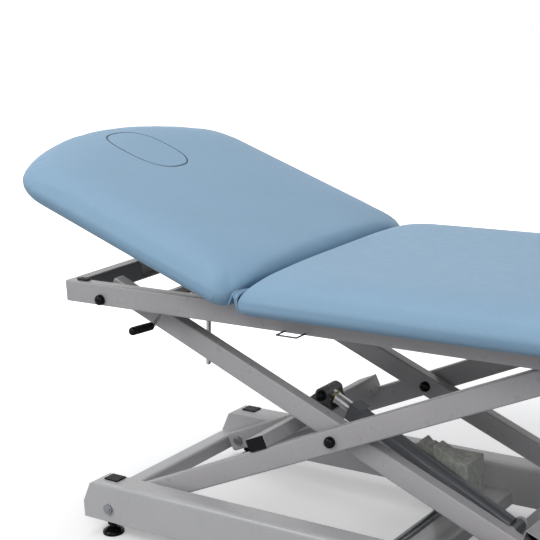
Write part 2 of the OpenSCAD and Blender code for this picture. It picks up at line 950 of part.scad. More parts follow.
module pump_pedal() {
  y0 = beam_y - 12;
  color(c_steel) {
    bar_y(pedal_p, y0, pump_y + 26, 10);
    translate([pedal_p[0], y0 + 3, pedal_p[1]])
      rotate([90, 0, 0])
        linear_extrude(height = 9)
          union() {
            circle(r = 17, $fn = 48);
            polygon([[-3, 16.6], [-150, -22], [-150, -46], [3, -16.6]]);
          }
    box([pedal_p[0] - 165, y0 - 48, pedal_p[1] - 46], [pedal_p[0] - 75, y0 - 5.9, pedal_p[1] - 40]);
  }
}

module pedal_pad() {
  y0 = beam_y - 12;
  color(c_black)
    difference() {
      box([pedal_p[0] - 163, y0 - 47, pedal_p[1] - 40], [pedal_p[0] - 77, y0 - 7, pedal_p[1] - 35]);
      for (i = [0:6])
        box([pedal_p[0] - 156 + 12 * i, y0 - 50, pedal_p[1] - 37],
          [pedal_p[0] - 151 + 12 * i, y0 - 3, pedal_p[1] - 30]);
    }
}

// Scissor arms, drawn along X about the middle pivot, then turned
module arm_body() {
  l = arm_half + arm_end;
  r = 8;
  rotate([90, 0, 0])
    translate([0, 0, -arm_t])
      linear_extrude(height = arm_t)
        union() {
          translate([-l + r, -arm_h / 2])
            square([2 * l - 2 * r, arm_h]);
          translate([-l, -arm_h / 2 + r])
            square([2 * l, arm_h - 2 * r]);
          for (x = [-l + r, l - r])
            for (z = [-arm_h / 2 + r, arm_h / 2 - r])
              translate([x, z])
                circle(r = r, $fn = 32);
        }
}

module arm() {
  difference() {
    arm_body();
    // hollow between the solid ends and the middle boss
    for (s = [-1, 1])
      translate([s < 0 ? -arm_half + 26 : 26, tube_wall, -arm_h / 2 + tube_wall])
        cube([arm_half - 52, arm_t - 2 * tube_wall, arm_h - 2 * tube_wall]);
    for (x = [-arm_half, 0, arm_half])
      translate([x, -1, 0])
        rotate([-90, 0, 0])
          cylinder(h = arm_t + 2, r = bolt_r + run, $fn = 64);
    // drain holes that open both hollow spaces downward
    for (x = [-arm_half + 60, -60, 60, arm_half - 60])
      translate([x, arm_t / 2, -arm_h / 2 - 1])
        cylinder(h = tube_wall + 2, r = 4, $fn = 24);
  }
}

module on_outer() {
  translate([mid_px[0], 0, mid_px[1]])
    rotate([0, -lift_angle, 0])
      children();
}

module on_inner() {
  translate([mid_px[0], 0, mid_px[1]])
    rotate([0, lift_angle, 0])
      children();
}

module outer_arm_near() {
  color(c_paint)
    on_outer()
      translate([0, outer_y, 0])
        arm();
}

module outer_arm_far() {
  color(c_paint)
    on_outer()
      translate([0, frame_w - outer_y - arm_t, 0])
        arm();
}

module outer_cross_tube() {
  color(c_paint)
    on_outer()
      tube_y([-cross_back - cross_w, outer_y, arm_h / 2],
        [-cross_back, frame_w - outer_y, arm_h / 2 + cross_t]);
}

module cross_tube_caps() {
  z0 = arm_h / 2;
  color(c_black)
    on_outer()
      both_sides() {
        box([-cross_back - cross_w + 0.3, outer_y - 3, z0 + 0.3],
          [-cross_back - 0.3, outer_y, z0 + cross_t - 0.3]);
        box([-cross_back - cross_w + tube_wall + 0.2, outer_y - 0.1, z0 + tube_wall + 0.2],
          [-cross_back - tube_wall - 0.2, outer_y + 12, z0 + cross_t - tube_wall - 0.2]);
      }
}

// eye position measured along and across the outer arm
eye_s = (eye[0] - mid_px[0]) * cos(lift_angle) + (eye[1] - mid_px[1]) * sin(lift_angle);
eye_h = -(eye[0] - mid_px[0]) * sin(lift_angle) + (eye[1] - mid_px[1]) * cos(lift_angle);
module ram_bracket() {
  color(c_paint)
    on_outer() {
      for (y = [mid_y - ear_in - ear_t, mid_y + ear_in])
        translate([0, y + ear_t, 0])
          rotate([90, 0, 0])
            linear_extrude(height = ear_t)
              difference() {
                union() {
                  translate([eye_s, eye_h])
                    circle(r = 17, $fn = 48);
                  polygon([[eye_s - 14, eye_h + 9.6],
                    [-cross_back - cross_w + 4, arm_h / 2 + cross_t + 14],
                    [-cross_back - cross_w + 4, arm_h / 2 + cross_t],
                    [-cross_back, arm_h / 2 + cross_t], [-cross_back, arm_h / 2 + 4],
                      [eye_s + 10, eye_h - 40], [eye_s + 16.8, eye_h - 2]]);
                }
                translate([eye_s, eye_h])
                  circle(r = bolt_r + run, $fn = 48);
              }
      // stiffening plate between the ears and the far side
      box([eye_s + 8, mid_y + ear_in + ear_t - 0.1, eye_h - 54], [eye_s + 14, mid_y + 167, eye_h - 15]);
      box([-cross_back, mid_y + ear_in + ear_t - 0.1, arm_h / 2 + 6],
        [eye_s + 8.1, mid_y + 167, arm_h / 2 + 12]);
    }
}

// bolt of the upper eye, bolts of the middle pivots and stub axles of the upper rollers
module middle_bolts() {
  color(c_steel) {
    bar_y(eye, mid_y - ear_in - ear_t - 6, mid_y + ear_in + ear_t + 6, bolt_r);
    both_sides() {
      bar_y(mid_px, outer_y - 0.5, inner_y + arm_t + 0.5, bolt_r);
      difference() {
        bar_y(mid_px, outer_y + arm_t + 0.1, inner_y - 0.1, 16);
        bar_y(mid_px, outer_y + arm_t, inner_y, bolt_r - 0.1);
      }
      bar_y([far_x, -pivot_drop], outer_y + 1, outer_y + arm_t + 28, bolt_r);
    }
  }
}

module middle_caps() {
  color(c_black) {
    both_sides() {
      difference() {
        dome(mid_px, outer_y - 0.1, 12.5, 9);
        bar_y(mid_px, outer_y - 0.6, outer_y + 1, bolt_r + run);
      }
      translate([0, 2 * (inner_y + arm_t), 0])
        mirror([0, 1, 0])
          difference() {
            dome(mid_px, inner_y + arm_t - 0.1, 12.5, 9);
            bar_y(mid_px, inner_y + arm_t - 0.6, inner_y + arm_t + 1, bolt_r + run);
          }
    }
    both_sides()
      difference() {
        dome(eye, mid_y - ear_in - ear_t - 0.1, 12.5, 10);
        bar_y(eye, mid_y - ear_in - ear_t - 6.2, mid_y, bolt_r + run);
      }
  }
}

module roller(y0, p) {
  difference() {
    bar_y(p, y0, y0 + 22, roller_r);
    bar_y(p, y0 - 1, y0 + 23, bolt_r + run);
  }
}

module upper_rollers() {
  color(c_black)
    both_sides()
      roller(outer_y + arm_t + 5, [far_x, -pivot_drop]);
}

module inner_arm_near() {
  color(c_paint)
    on_inner()
      translate([0, inner_y, 0])
        arm();
}

module inner_arm_far() {
  color(c_paint)
    on_inner()
      translate([0, frame_w - inner_y - arm_t, 0])
        arm();
}

module inner_cross_tube() {
  color(c_paint)
    on_inner()
      tube_y([inner_cross, inner_y, arm_h / 2],
        [inner_cross + cross_w, frame_w - inner_y, arm_h / 2 + cross_t]);
}

module roller_stubs() {
  color(c_steel)
    both_sides()
      bar_y([far_x, low_px[1]], beam_y + beam_w + 7, inner_y + arm_t - 1, bolt_r);
}

module lower_rollers() {
  color(c_black)
    both_sides()
      roller(beam_y + beam_w + 10, [far_x, low_px[1]]);
}

// Hydraulic cylinder, drawn along Z from the upper eye
module along_ram() {
  translate([eye[0], mid_y, eye[1]])
    rotate([0, 90 + ram_a, 0])
      children();
}

rod_l = gland_at + 165;
module cylinder_rod() {
  color(c_chrome)
    difference() {
      union() {
        bar_y(eye, mid_y - ear_in + ram_gap, mid_y + ear_in - ram_gap, 17);
        along_ram()
          cylinder(h = rod_l, r = ram_r, $fn = 64);
        along_ram()
          translate([0, 0, rod_l - 20])
            cylinder(h = 20, r = barrel_r - 4, $fn = 64);
      }
      bar_y(eye, mid_y - ear_in - 1, mid_y + ear_in + 1, bolt_r + run);
    }
}

module rod_collar() {
  color(c_zinc)
    along_ram()
      translate([0, 0, 19.5])
        difference() {
          cylinder(h = 5, r = 17.5, $fn = 6);
          translate([0, 0, -1])
            cylinder(h = 7, r = ram_r + run, $fn = 64);
        }
}

gland_h = 2 * barrel_r + 1;
gland_w = 2 * barrel_r - 1;
module cylinder_body() {
  l = ram_d - gland_at;
  color(c_dark)
    difference() {
      union() {
        along_ram()
          translate([0, 0, gland_at + gland_l - 1])
            cylinder(h = l - gland_l - 10, r = barrel_r, $fn = 64);
        along_ram()
          translate([-gland_h / 2, -gland_w / 2, gland_at])
            cube([gland_h, gland_w, gland_l]);
        bar_y(foot_eye, mid_y - ear_in + ram_gap, mid_y + ear_in - ram_gap, 15);
      }
      along_ram()
        translate([0, 0, gland_at - 1])
          cylinder(h = gland_l + 2, r = ram_r + run, $fn = 64);
      along_ram()
        translate([0, 0, gland_at + gland_l])
          cylinder(h = l - gland_l - 50, r = barrel_r - 4 + run, $fn = 64);
      // oil port
      along_ram()
        translate([barrel_r - 8, 0, gland_at + gland_l + 12])
          rotate([0, 90, 0])
            cylinder(h = 10, r = 3.5, $fn = 32);
    }
}

placed()
    rail_near();
placed()
    rail_far();
placed()
    head_crossbar();
placed()
    crossbar_plate();
placed()
    mid_crossbar();
placed()
    guide_bar_a();
placed()
    guide_bar_b();
placed()
    foot_crossbar();
placed()
    rail_end_caps();
placed()
    upper_guide_near();
placed()
    upper_guide_far();
placed()
    back_buffers();
placed()
    seat_strips();
placed()
    seat_board();
placed()
    seat_pad();
placed()
    wire_loop();
placed()
    top_pivot_bolts();
placed()
    top_pivot_caps();
placed()
    frame_lugs();
placed()
    lock_bar();
placed()
    lever_bracket();
placed()
    hinge_gusset();
placed()
    back_board();
placed()
    back_frame();
placed()
    back_pad();
placed()
    hinge_pins();
placed()
    face_plug();
placed()
    lock_rod();
placed()
    lock_housing();
placed()
    release_lever();
placed()
    lever_grip();
placed()
    base_beam_near();
placed()
    base_beam_far();
placed()
    base_cross_head();
placed()
    base_cross_mid();
placed()
    base_cross_foot();
placed()
    lower_guides();
placed()
    base_pads();
placed()
    base_pivot_bolts();
placed()
    levelling_feet();
placed()
    pump_unit();
placed()
    pump_pedal();
placed()
    pedal_pad();
placed()
    outer_arm_near();
placed()
    outer_arm_far();
placed()
    outer_cross_tube();
placed()
    cross_tube_caps();
placed()
    ram_bracket();
placed()
    middle_bolts();
placed()
    middle_caps();
placed()
    upper_rollers();
placed()
    inner_arm_near();
placed()
    inner_arm_far();
placed()
    inner_cross_tube();
placed()
    roller_stubs();
placed()
    lower_rollers();
placed()
    cylinder_rod();
placed()
    rod_collar();
placed()
    cylinder_body();
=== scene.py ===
"""Treatment table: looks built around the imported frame, laid out as an add-on."""

import json
import math

import bmesh
import bpy
import numpy as np
from bpy.props import FloatProperty, FloatVectorProperty, PointerProperty
from bpy.types import Operator, Panel, PropertyGroup
from mathutils import Matrix, Vector
from mathutils.bvhtree import BVHTree

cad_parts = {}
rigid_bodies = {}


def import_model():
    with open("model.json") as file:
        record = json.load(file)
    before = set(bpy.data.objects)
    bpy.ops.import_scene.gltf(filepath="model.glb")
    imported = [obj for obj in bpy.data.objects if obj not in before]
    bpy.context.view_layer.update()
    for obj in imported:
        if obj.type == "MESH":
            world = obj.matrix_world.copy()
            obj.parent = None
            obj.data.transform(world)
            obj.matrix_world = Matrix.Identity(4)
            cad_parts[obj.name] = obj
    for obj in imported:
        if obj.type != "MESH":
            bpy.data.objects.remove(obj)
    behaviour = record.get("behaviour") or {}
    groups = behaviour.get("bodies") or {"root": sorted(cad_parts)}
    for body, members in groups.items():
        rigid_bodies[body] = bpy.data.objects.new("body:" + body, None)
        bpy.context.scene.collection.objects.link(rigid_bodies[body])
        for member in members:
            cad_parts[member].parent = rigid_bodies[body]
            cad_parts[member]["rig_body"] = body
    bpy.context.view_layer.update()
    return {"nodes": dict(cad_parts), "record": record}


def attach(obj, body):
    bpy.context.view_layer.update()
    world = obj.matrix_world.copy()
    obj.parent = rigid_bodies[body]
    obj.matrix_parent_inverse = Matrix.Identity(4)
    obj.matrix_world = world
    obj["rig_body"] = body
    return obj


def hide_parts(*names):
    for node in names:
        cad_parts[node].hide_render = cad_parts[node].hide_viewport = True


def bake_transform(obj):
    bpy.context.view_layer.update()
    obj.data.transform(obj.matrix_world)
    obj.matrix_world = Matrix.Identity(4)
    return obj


bl_info = {
    "name": "Treatment Table",
    "version": (1, 0, 0),
    "blender": (4, 5, 0),
    "location": "3D View > Sidebar > Table",
    "description": "Cushions, painted tubes, hydraulics and small fittings of a two-section treatment table",
    "category": "Object",
}

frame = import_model()

# The drawing's millimetres count from the near rail's outer top edge at the head end;
# the row frame has its origin on the floor under the middle of the table.
MIDDLE_Y = 271.0
MIDDLE = np.array([796.1, MIDDLE_Y, -615.0])

# Cushions
PAD_WIDTH = 752.0
PAD_THICK = 73.4
PAD_CLEAR = 4.0
SEAT_LENGTH = 1180.0
SEAT_FRONT = 563.9
HEAD_LENGTH = 756.0
HEAD_FLAT = 559.05
HEAD_TRIM = 8.0
HEAD_ANGLE = math.radians(20.39)
HINGE_X = 554.376
HINGE_Z = 30.0
SIDE_RUN = 154.0
HINGE_RUN = 30.0
LOWER_ROUND = 24.1
END_RADIUS = 571.0
OUTER_CORNER = 137.5
INNER_CORNER = 24.0
HEAD_INNER_CORNER = 46.0
CORNER_GROWTH = 1.37
TIGHTEST_CORNER = 8.0
RECESS = 15.1
# Inset and height of the rings on the underside and in the recess for the board
UNDERSIDE = ((30.0, 0.0), (35.4, 0.0), (35.9, 0.6), (35.9, RECESS))
COVER_COLUMNS = 432
COVER_ROWS = 44
COVER_POLE = 4.0
# Nearer to the widest place than this, the stretched form is met sideways, not from above
SIDE_BAND = 60.0
OUTER_GATHERS = 150.0
GATHER_DEPTH = 1.5

# Simulation of the covers; heights in metres
FORM_SHRINK = 3.0
SWELL_SHARE = np.array([0.006, 0.008, 0.08])
STAPLED_HEIGHT = 0.004
LAST_FRAME = 20
CLOTH = {
    "quality": 5,
    "mass": 0.6,
    "tension_stiffness": 25,
    "compression_stiffness": 25,
    "shear_stiffness": 12,
    "bending_stiffness": 2.0,
    "use_pressure": True,
    "vertex_group_mass": "stapled",
}

# Face opening and its plug
HOLE_CENTRE = 566.6
HOLE_SIZE = (215.5, 144.8)
HOLE_SQUARENESS = 2.5
PLUG_GAP = 1.7
PLUG_LIP = 3.6
LIP_STEPS = (0, 0.25, 0.6, 1.05, 1.6, 2.3, 3.2, 4.6)
OPENING_WALL = (RECESS, 30.0, 48.0)
PLUG_COLUMNS = 180
PLUG_SHARES = (0.03, 0.12, 0.25, 0.38, 0.5, 0.62, 0.73, 0.83, 0.9, 0.95)
PLUG_LIP_STEPS = (PLUG_LIP, 2.5, 1.7, 1.05, 0.6, 0.25, 0.0)
# Height and inset of the plug's lower rings
PLUG_WALL = ((44.0, 0.0), (24.0, 0.0), (17.0, 0.8), (15.3, 2.6))
# Depth of the dark cord under the crown; the cord is painted shade in the plug's groove
CORD_DEPTH = 1.5
# Radius of the dark cord that stands as painted shade in the plug's groove, and of the weld beads, in metres
BEAD_RADIUS = 0.0013

# Gussets: lines along and columns across one strip
GUSSET_LINES = 64
GUSSET_COLUMNS = 40

# Tubes
TUBE_WIDTH = 30.0
TUBE_HEIGHT = 50.0
RAIL_LENGTH = 1600.0
FRAME_WIDTH = 542.0
ARM_MIDDLE = (700.51, -287.13)
ARM_HALF = 676.0
ARM_END_ROUND = 8.0
RAIL_END_ROUND = 0.7
LIFT_ANGLE = math.radians(23.0)
OUTER_ARM_Y = 33.0
INNER_ARM_Y = 70.0

# Upper eye of the cylinder; ears reach no further than their span from the middle. These bound the eye's
# dark colour and the painted shade on the ears.
EYE = np.array([543.0, MIDDLE_Y, -272.0])
EYE_RADIUS = 19.0
EAR_SPAN = 33.0

# Nodes by the rounding of their edges; the rest get the smallest
WIDE_EDGES = (
    "head_crossbar", "mid_crossbar", "foot_crossbar", "outer_cross_tube", "inner_cross_tube",
    "guide_bar_a", "guide_bar_b",
)
LONG_EDGES = (
    "base_beam_near", "base_beam_far", "ram_bracket", "lock_bar", "back_frame", "base_cross_mid",
    "pump_unit",
)
MEDIUM_EDGES = ("seat_board", "back_board", "lower_rollers", "upper_rollers", "levelling_feet")
# Nodes that pieces of their own stand for
OWN_PIECES = {
    "seat_pad", "back_pad", "face_plug", "hinge_gusset", "rail_near", "rail_far", "outer_arm_near",
    "outer_arm_far", "inner_arm_near", "inner_arm_far", "top_pivot_caps", "middle_caps", "lever_grip",
}

# Lines down the near gusset, from the head cushion's edge to the seat cushion's
GUSSET_GUIDES = (
    ((560, 8, 40), (560, -36, 47), (556.5, -62, 49), (551, -79, 45.5))
    + ((547, -84.5, 33), (541.5, -83, 23), (537, -79, 15)),
    ((561, 8, 39), (561, -36, 46.5), (558, -62, 49.5), (554.5, -80, 46.5))
    + ((551, -85.5, 35), (546, -85, 25), (540, -82, 16.5)),
    ((563, 8, 36), (563, -36, 44.5), (561, -62, 48), (557.5, -80, 47.5))
    + ((556.5, -83.5, 44), (556, -83.5, 41), (556, -82, 38)),
    ((566, 8, 38), (566, -36, 46.5), (565, -60, 48), (560.5, -80, 46.5))
    + ((560, -85.5, 36), (561, -83.5, 21), (562.5, -78.5, 4)),
    ((568, 8, 42), (568.5, -36, 49), (568, -58, 47.5), (567.5, -79, 42))
    + ((566.5, -85, 32), (567, -84, 18), (567.5, -80, 1.5)),
)

# Domed cap: radius and height of its rings, and its gap to the tube
CAP_DOME = (
    (4.0, -0.4), (12.3, -0.4), (12.5, 0.4), (12.5, 5.0), (12.2, 7.2),
    (11.3, 9.4), (9.6, 11.4), (7.2, 12.9), (4.0, 13.8), (1.0, 14.1),
)
CAP_GAP = 0.1
RAIL_PIVOT = (107.7, -35.5)
EAR_REACH = 32.0

# Grip of the release lever: radius and height of its rings
GRIP_FOOT = ((0.6, 0.0), (8.2, 0.0), (9.2, 0.8), (9.5, 2.2))
GRIP_RIB = ((9.5, 0.0), (9.35, 0.5), (8.9, 1.2), (8.8, 1.9), (8.9, 2.6), (9.35, 3.2), (9.5, 3.6))
GRIP_TIP = ((9.5, 61.8), (9.3, 63.6), (8.6, 65.8), (7.2, 67.6), (5.0, 68.9), (2.4, 69.35), (0.4, 69.4))
GRIP_RIBS = 10
FIRST_RIB = 4
RIB_PITCH = 5.6
GRIP_PLACE = (262.0, -8.0, -77.28)

# Fastenings
STAPLE_LEGS = ((-5.4, 1.0), (-5.2, 0.2), (-4.6, -0.35), (4.6, -0.35), (5.2, 0.2), (5.4, 1.0))
STAPLE_WIRE = ((-0.54, -0.2), (0.54, -0.2), (0.54, 0.2), (-0.54, 0.2))
STAPLE_INSET = 30.5
STAPLE_PITCH = 24
SCREW_HEAD = ((0.7, -2.6), (1.2, -2.6), (1.9, -2.5), (3.4, -1.9), (4.1, -1.0), (4.3, 0.3))
WELD_PROUD = 0.3
# Upright weld beads on the rails' inner faces: place along the rail, lowest, highest, points
UPRIGHT_WELDS = (
    (567.0, -47, -3, 12),
    (597.0, -47, -3, 12),
    (3.4, -46, -4, 12),
    (231.0, -38, -22, 8),
    (251.0, -38, -22, 8),
)

# Stage: name, place, aim, size and share of the power of the two lamps at the near side
KEY_LAMPS = (
    ("key_left", (-2.6, -3.8, 4.0), (0.0, 0.0, 0.55), (2.2, 2.4), 0.52),
    ("key_right", (2.4, -4.0, 3.6), (0.0, 0.0, 0.55), (3.0, 2.4), 0.48),
)
FLOOR_SIZE = 9.0
FLOOR_CELLS = 24

# What all colours in the settings share
COLOUR = {"size": 3, "min": 0, "max": 1, "subtype": "COLOR"}


def metres(points):
    """Drawing millimetres to row metres."""
    return (np.asarray(points, float).reshape(-1, 3) - MIDDLE) / 1000.0


def raised(points):
    """Head section points, drawn lying flat, turned up about the section hinge."""
    p = np.asarray(points, float).reshape(-1, 3).copy()
    x, z = p[:, 0] - HINGE_X, p[:, 2] - HINGE_Z
    c, s = math.cos(HEAD_ANGLE), math.sin(HEAD_ANGLE)
    p[:, 0] = HINGE_X + x * c + z * s
    p[:, 2] = HINGE_Z - x * s + z * c
    return p


def seat_place(ring):
    """Places on the seat cushion, counted from its hinge end, in the drawing."""
    return [(SEAT_FRONT + x, MIDDLE_Y + y, PAD_CLEAR + z) for x, y, z in ring]


def head_place(ring):
    """Places on the head cushion, counted from its hinge end, in the drawing, lying flat."""
    return [(HEAD_FLAT - x, MIDDLE_Y + y, PAD_CLEAR + z) for x, y, z in ring]


# Nodes


def add_node(tree, kind, values=None, **settings):
    """New node with its settings, and with plain values on some of its inputs."""
    node = tree.nodes.new(kind)
    for key, value in settings.items():
        setattr(node, key, value)
    for key, value in (values or {}).items():
        node.inputs[key].default_value = value
    return node


def find_node(tree, kind):
    """The node of a kind that a new tree already has."""
    return next(n for n in tree.nodes if n.type == kind)


def wire(tree, *joins):
    """Links nodes; each join is a node, its output, the next node and that one's input."""
    for start, output, end, key in joins:
        tree.links.new(start.outputs[output], end.inputs[key])


# Materials


class Finish:
    """A node material: an object-space pattern drives colour, roughness and relief."""

    def __init__(self, name, colour, roughness, metallic=0.0, **sockets):
        self.material = bpy.data.materials.new(name)
        self.material.use_nodes = True
        self.tree = self.material.node_tree
        self.shader = find_node(self.tree, "BSDF_PRINCIPLED")
        values = {"Base Color": (*colour, 1), "Roughness": roughness, "Metallic": metallic}
        values.update({key.replace("_", " "): value for key, value in sockets.items()})
        for key, value in values.items():
            self.shader.inputs[key].default_value = value
        self.colour = colour
        self.place = self.tree.nodes.new("ShaderNodeTexCoord").outputs["Object"]
        self.height = None

    def add(self, kind, feed, key, values, **settings):
        """New node that is fed with a pattern at the input called key."""
        node = add_node(self.tree, kind, values, **settings)
        self.tree.links.new(feed, node.inputs[key])
        return node

    def stretched(self, scale):
        """Object coordinates stretched by a factor on each axis."""
        return self.add("ShaderNodeMapping", self.place, "Vector", {"Scale": scale}).outputs["Vector"]

    def noise(self, size, detail=3.0, place=None, rough=0.55):
        """Cloudy pattern with features about as large as size, in metres."""
        values = {"Scale": 1.0 / size, "Detail": detail, "Roughness": rough}
        return self.add("ShaderNodeTexNoise", place or self.place, "Vector", values).outputs["Fac"]

    def cells(self, size):
        """Pebbled pattern with cells about as wide as size, in metres."""
        values = {"Scale": 1.0 / size}
        node = self.add("ShaderNodeTexVoronoi", self.place, "Vector", values, feature="DISTANCE_TO_EDGE")
        return node.outputs["Distance"]

    def distance_along(self, direction):
        """Object coordinate measured along a direction, in metres from the object's origin."""
        node = self.add("ShaderNodeVectorMath", self.place, 0, {1: direction}, operation="DOT_PRODUCT")
        return node.outputs["Value"]

    def span(self, value, low, high, to_low, to_high):
        """Pattern value between low and high, carried to a new range."""
        values = {"From Min": low, "From Max": high, "To Min": to_low, "To Max": to_high}
        return self.add("ShaderNodeMapRange", value, "Value", values).outputs["Result"]

    def tint(self, value, other, low=0.3, high=0.7):
        """Base colour wanders between its own and another colour."""
        own = self.shader.inputs["Base Color"]
        share = self.span(value, low, high, 0, 1)
        node = self.add("ShaderNodeMix", share, "Factor", {}, data_type="RGBA")
        if own.is_linked:
            self.tree.links.new(own.links[0].from_socket, node.inputs[6])
        else:
            node.inputs[6].default_value = (*self.colour, 1)
        node.inputs[7].default_value = (*other, 1)
        self.tree.links.new(node.outputs[2], own)

    def gloss(self, value, rough_low, rough_high, low=0.3, high=0.7):
        """Roughness wanders between two values."""
        roughness = self.span(value, low, high, rough_low, rough_high)
        self.tree.links.new(roughness, self.shader.inputs["Roughness"])

    def relief(self, value, depth, strength=1.0):
        """Adds a bump of the given depth, in metres, on top of the ones before."""
        node = self.add("ShaderNodeBump", value, "Height", {"Distance": depth, "Strength": strength})
        if self.height is not None:
            self.tree.links.new(self.height, node.inputs["Normal"])
        self.height = node.outputs["Normal"]
        self.tree.links.new(self.height, self.shader.inputs["Normal"])


def shade(colour, *factors):
    """A colour made lighter or darker, by one factor or by one for each channel."""
    return tuple(min(1.0, c * f) for c, f in zip(colour, factors * 3))


def vinyl_finish(name, colour, grain, crease=None):
    """Coated cover: pebbled grain, broad soft variation, and painted shade in a band along the hinge gap,
    where crease gives one.
    """
    f = Finish(name, colour, 0.46, Specular_IOR_Level=0.3, Sheen_Weight=0.03, Sheen_Roughness=0.4)
    f.tint(f.noise(0.16, 2), shade(colour, 0.955), 0.35, 0.7)
    f.tint(f.noise(0.004, 3), shade(colour, 1.035), 0.4, 0.75)
    # Painted shade: the cover darkens in a band towards the hinge gap between the cushions, where shade
    # falls; crease gives the direction along the cover, where the band starts and where it is darkest.
    if crease:
        direction, shade_start, shade_full = crease
        f.tint(f.distance_along(direction), shade(colour, 0.02, 0.08, 0.2), shade_start, shade_full)
    f.gloss(f.noise(0.02, 4), 0.42, 0.52)
    f.relief(f.noise(0.05, 2), 0.0006, 0.35)
    f.relief(f.cells(grain), 0.00012, 0.45)
    f.relief(f.noise(grain * 0.35, 2), 0.00004, 0.4)
    return f.material


def powder_finish(name, colour, roughness, specular=0.65):
    """Silver powder coat: fine orange peel, faint mottling, dust in broad patches."""
    f = Finish(name, colour, roughness, Specular_IOR_Level=specular)
    f.tint(f.noise(0.09, 4), shade(colour, 0.94), 0.4, 0.72)
    f.tint(f.noise(0.005, 2), shade(colour, 1.03), 0.45, 0.75)
    f.gloss(f.noise(0.03, 4), roughness - 0.04, roughness + 0.05)
    f.relief(f.noise(0.0033, 1), 0.00004, 0.2)
    return f.material


def metal_finish(name, colour, roughness, depth=0.00001, grain=(1, 1, 1)):
    """Bare or plated metal, with drawn or turned marks along the stretched axis."""
    f = Finish(name, colour, roughness, 1.0)
    f.tint(f.noise(0.03, 4), shade(colour, 0.86), 0.4, 0.75)
    marks = f.noise(0.0012, 3, f.stretched(grain))
    f.gloss(marks, max(0.03, roughness - 0.06), roughness + 0.12)
    f.relief(marks, depth, 0.4)
    return f.material


def moulded_finish(name, colour, roughness, specular):
    """Moulded plastic or rubber with a fine tool texture and light scuffs."""
    f = Finish(name, colour, roughness, 0.0, Specular_IOR_Level=specular)
    f.tint(f.noise(0.02, 4), shade(colour, 1.35), 0.5, 0.8)
    f.gloss(f.noise(0.006, 4), roughness - 0.03, roughness + 0.06)
    f.relief(f.noise(0.0006, 2), 0.00002, 0.25)
    return f.material


def wood_finish(name, colour):
    """Birch ply: long figure along the board, with finer, lighter streaks along it."""
    f = Finish(name, colour, 0.62, 0.0, Specular_IOR_Level=0.35)
    figure = f.noise(0.012, 5, f.stretched((0.08, 1, 1)), 0.6)
    f.tint(figure, shade(colour, 0.72), 0.42, 0.68)
    f.tint(f.noise(0.002, 3, f.stretched((0.03, 1, 1))), shade(colour, 1.12), 0.4, 0.7)
    f.gloss(figure, 0.52, 0.72)
    f.relief(figure, 0.0001, 0.4)
    return f.material


def cast_finish(name, colour):
    """Painted casting with a sandy skin."""
    f = Finish(name, colour, 0.5, 0.0, Specular_IOR_Level=0.45)
    f.tint(f.noise(0.012, 5), shade(colour, 0.7), 0.42, 0.68)
    f.gloss(f.noise(0.01, 4), 0.42, 0.6)
    f.relief(f.noise(0.0016, 4), 0.00016, 0.6)
    f.relief(f.noise(0.009, 2), 0.0006, 0.5)
    return f.material


def floor_finish(name, colour):
    """Pale studio floor with a very faint unevenness."""
    f = Finish(name, colour, 0.9, 0.0, Specular_IOR_Level=0.1)
    f.tint(f.noise(1.5, 2), shade(colour, 0.985), 0.3, 0.7)
    return f.material


FINISHES = {}


def finish_of(slot):
    """Material of a record slot, made once."""
    if slot in FINISHES:
        return FINISHES[slot]
    covers = bpy.context.scene.table_covers
    tubes = bpy.context.scene.table_tubes
    ahead = (math.cos(HEAD_ANGLE), 0.0, -math.sin(HEAD_ANGLE))
    edge = float(np.dot(ahead, metres(raised([(HEAD_FLAT, MIDDLE_Y, 0.0)]))[0]))
    front = float(metres([(SEAT_FRONT, 0.0, 0.0)])[0][0])
    # Bands of painted shade along the hinge gap, on the head cover and on the seat cover.
    head_hinge_shade = (ahead, edge - 0.019, edge - 0.008)
    seat_hinge_shade = ((1, 0, 0), front + 0.012, front + 0.001)
    makers = {
        "vinyl": (vinyl_finish, "soft_blue_vinyl", covers.vinyl, covers.grain),
        "head_vinyl": (vinyl_finish, "head_vinyl", covers.vinyl, covers.grain, head_hinge_shade),
        "seat_vinyl": (vinyl_finish, "seat_vinyl", covers.vinyl, covers.grain, seat_hinge_shade),
        # Dark cord in the plug's groove: the vinyl colour darkened as painted shade.
        "binding": (vinyl_finish, "dark_binding", shade(covers.vinyl, 0.12), covers.grain),
        "plywood": (wood_finish, "birch_ply", covers.board),
        "frame_paint": (powder_finish, "silver_powder_coat", tubes.frame_paint, 0.3),
        "base_paint": (powder_finish, "base_powder_coat", tubes.base_paint, 0.34),
        "dark_paint": (powder_finish, "graphite_paint", tubes.dark_paint, 0.34, 0.5),
        # Dark colour of the rod's eye, which the ears also get as painted shade.
        "eye_paint": (powder_finish, "eye_paint", (0.05, 0.05, 0.055), 0.3, 0.5),
        "cast_grey": (cast_finish, "painted_casting", tubes.casting),
        "chrome": (metal_finish, "polished_chrome", tubes.chrome, 0.26, 0.000004),
        "bright_rod": (metal_finish, "bright_rod", (0.8, 0.8, 0.81), 0.36, 0.000004),
        # Plated wire darkened as painted reflection of dark surroundings.
        "dark_wire": (metal_finish, "dark_wire", (0.1, 0.1, 0.11), 0.3),
        "zinc_yellow": (metal_finish, "yellow_zinc", (0.5, 0.43, 0.2), 0.3),
        "steel": (metal_finish, "zinc_plate", (0.32, 0.33, 0.35), 0.34, 0.00001, (0.12, 1, 1)),
        "black_plastic": (moulded_finish, "gloss_black_plastic", (0.004, 0.004, 0.005), 0.12, 0.14),
        "black_rubber": (moulded_finish, "black_rubber", (0.007, 0.007, 0.008), 0.5, 0.2),
    }
    maker, *values = makers[slot]
    FINISHES[slot] = maker(*values)
    return FINISHES[slot]


# Mesh helpers


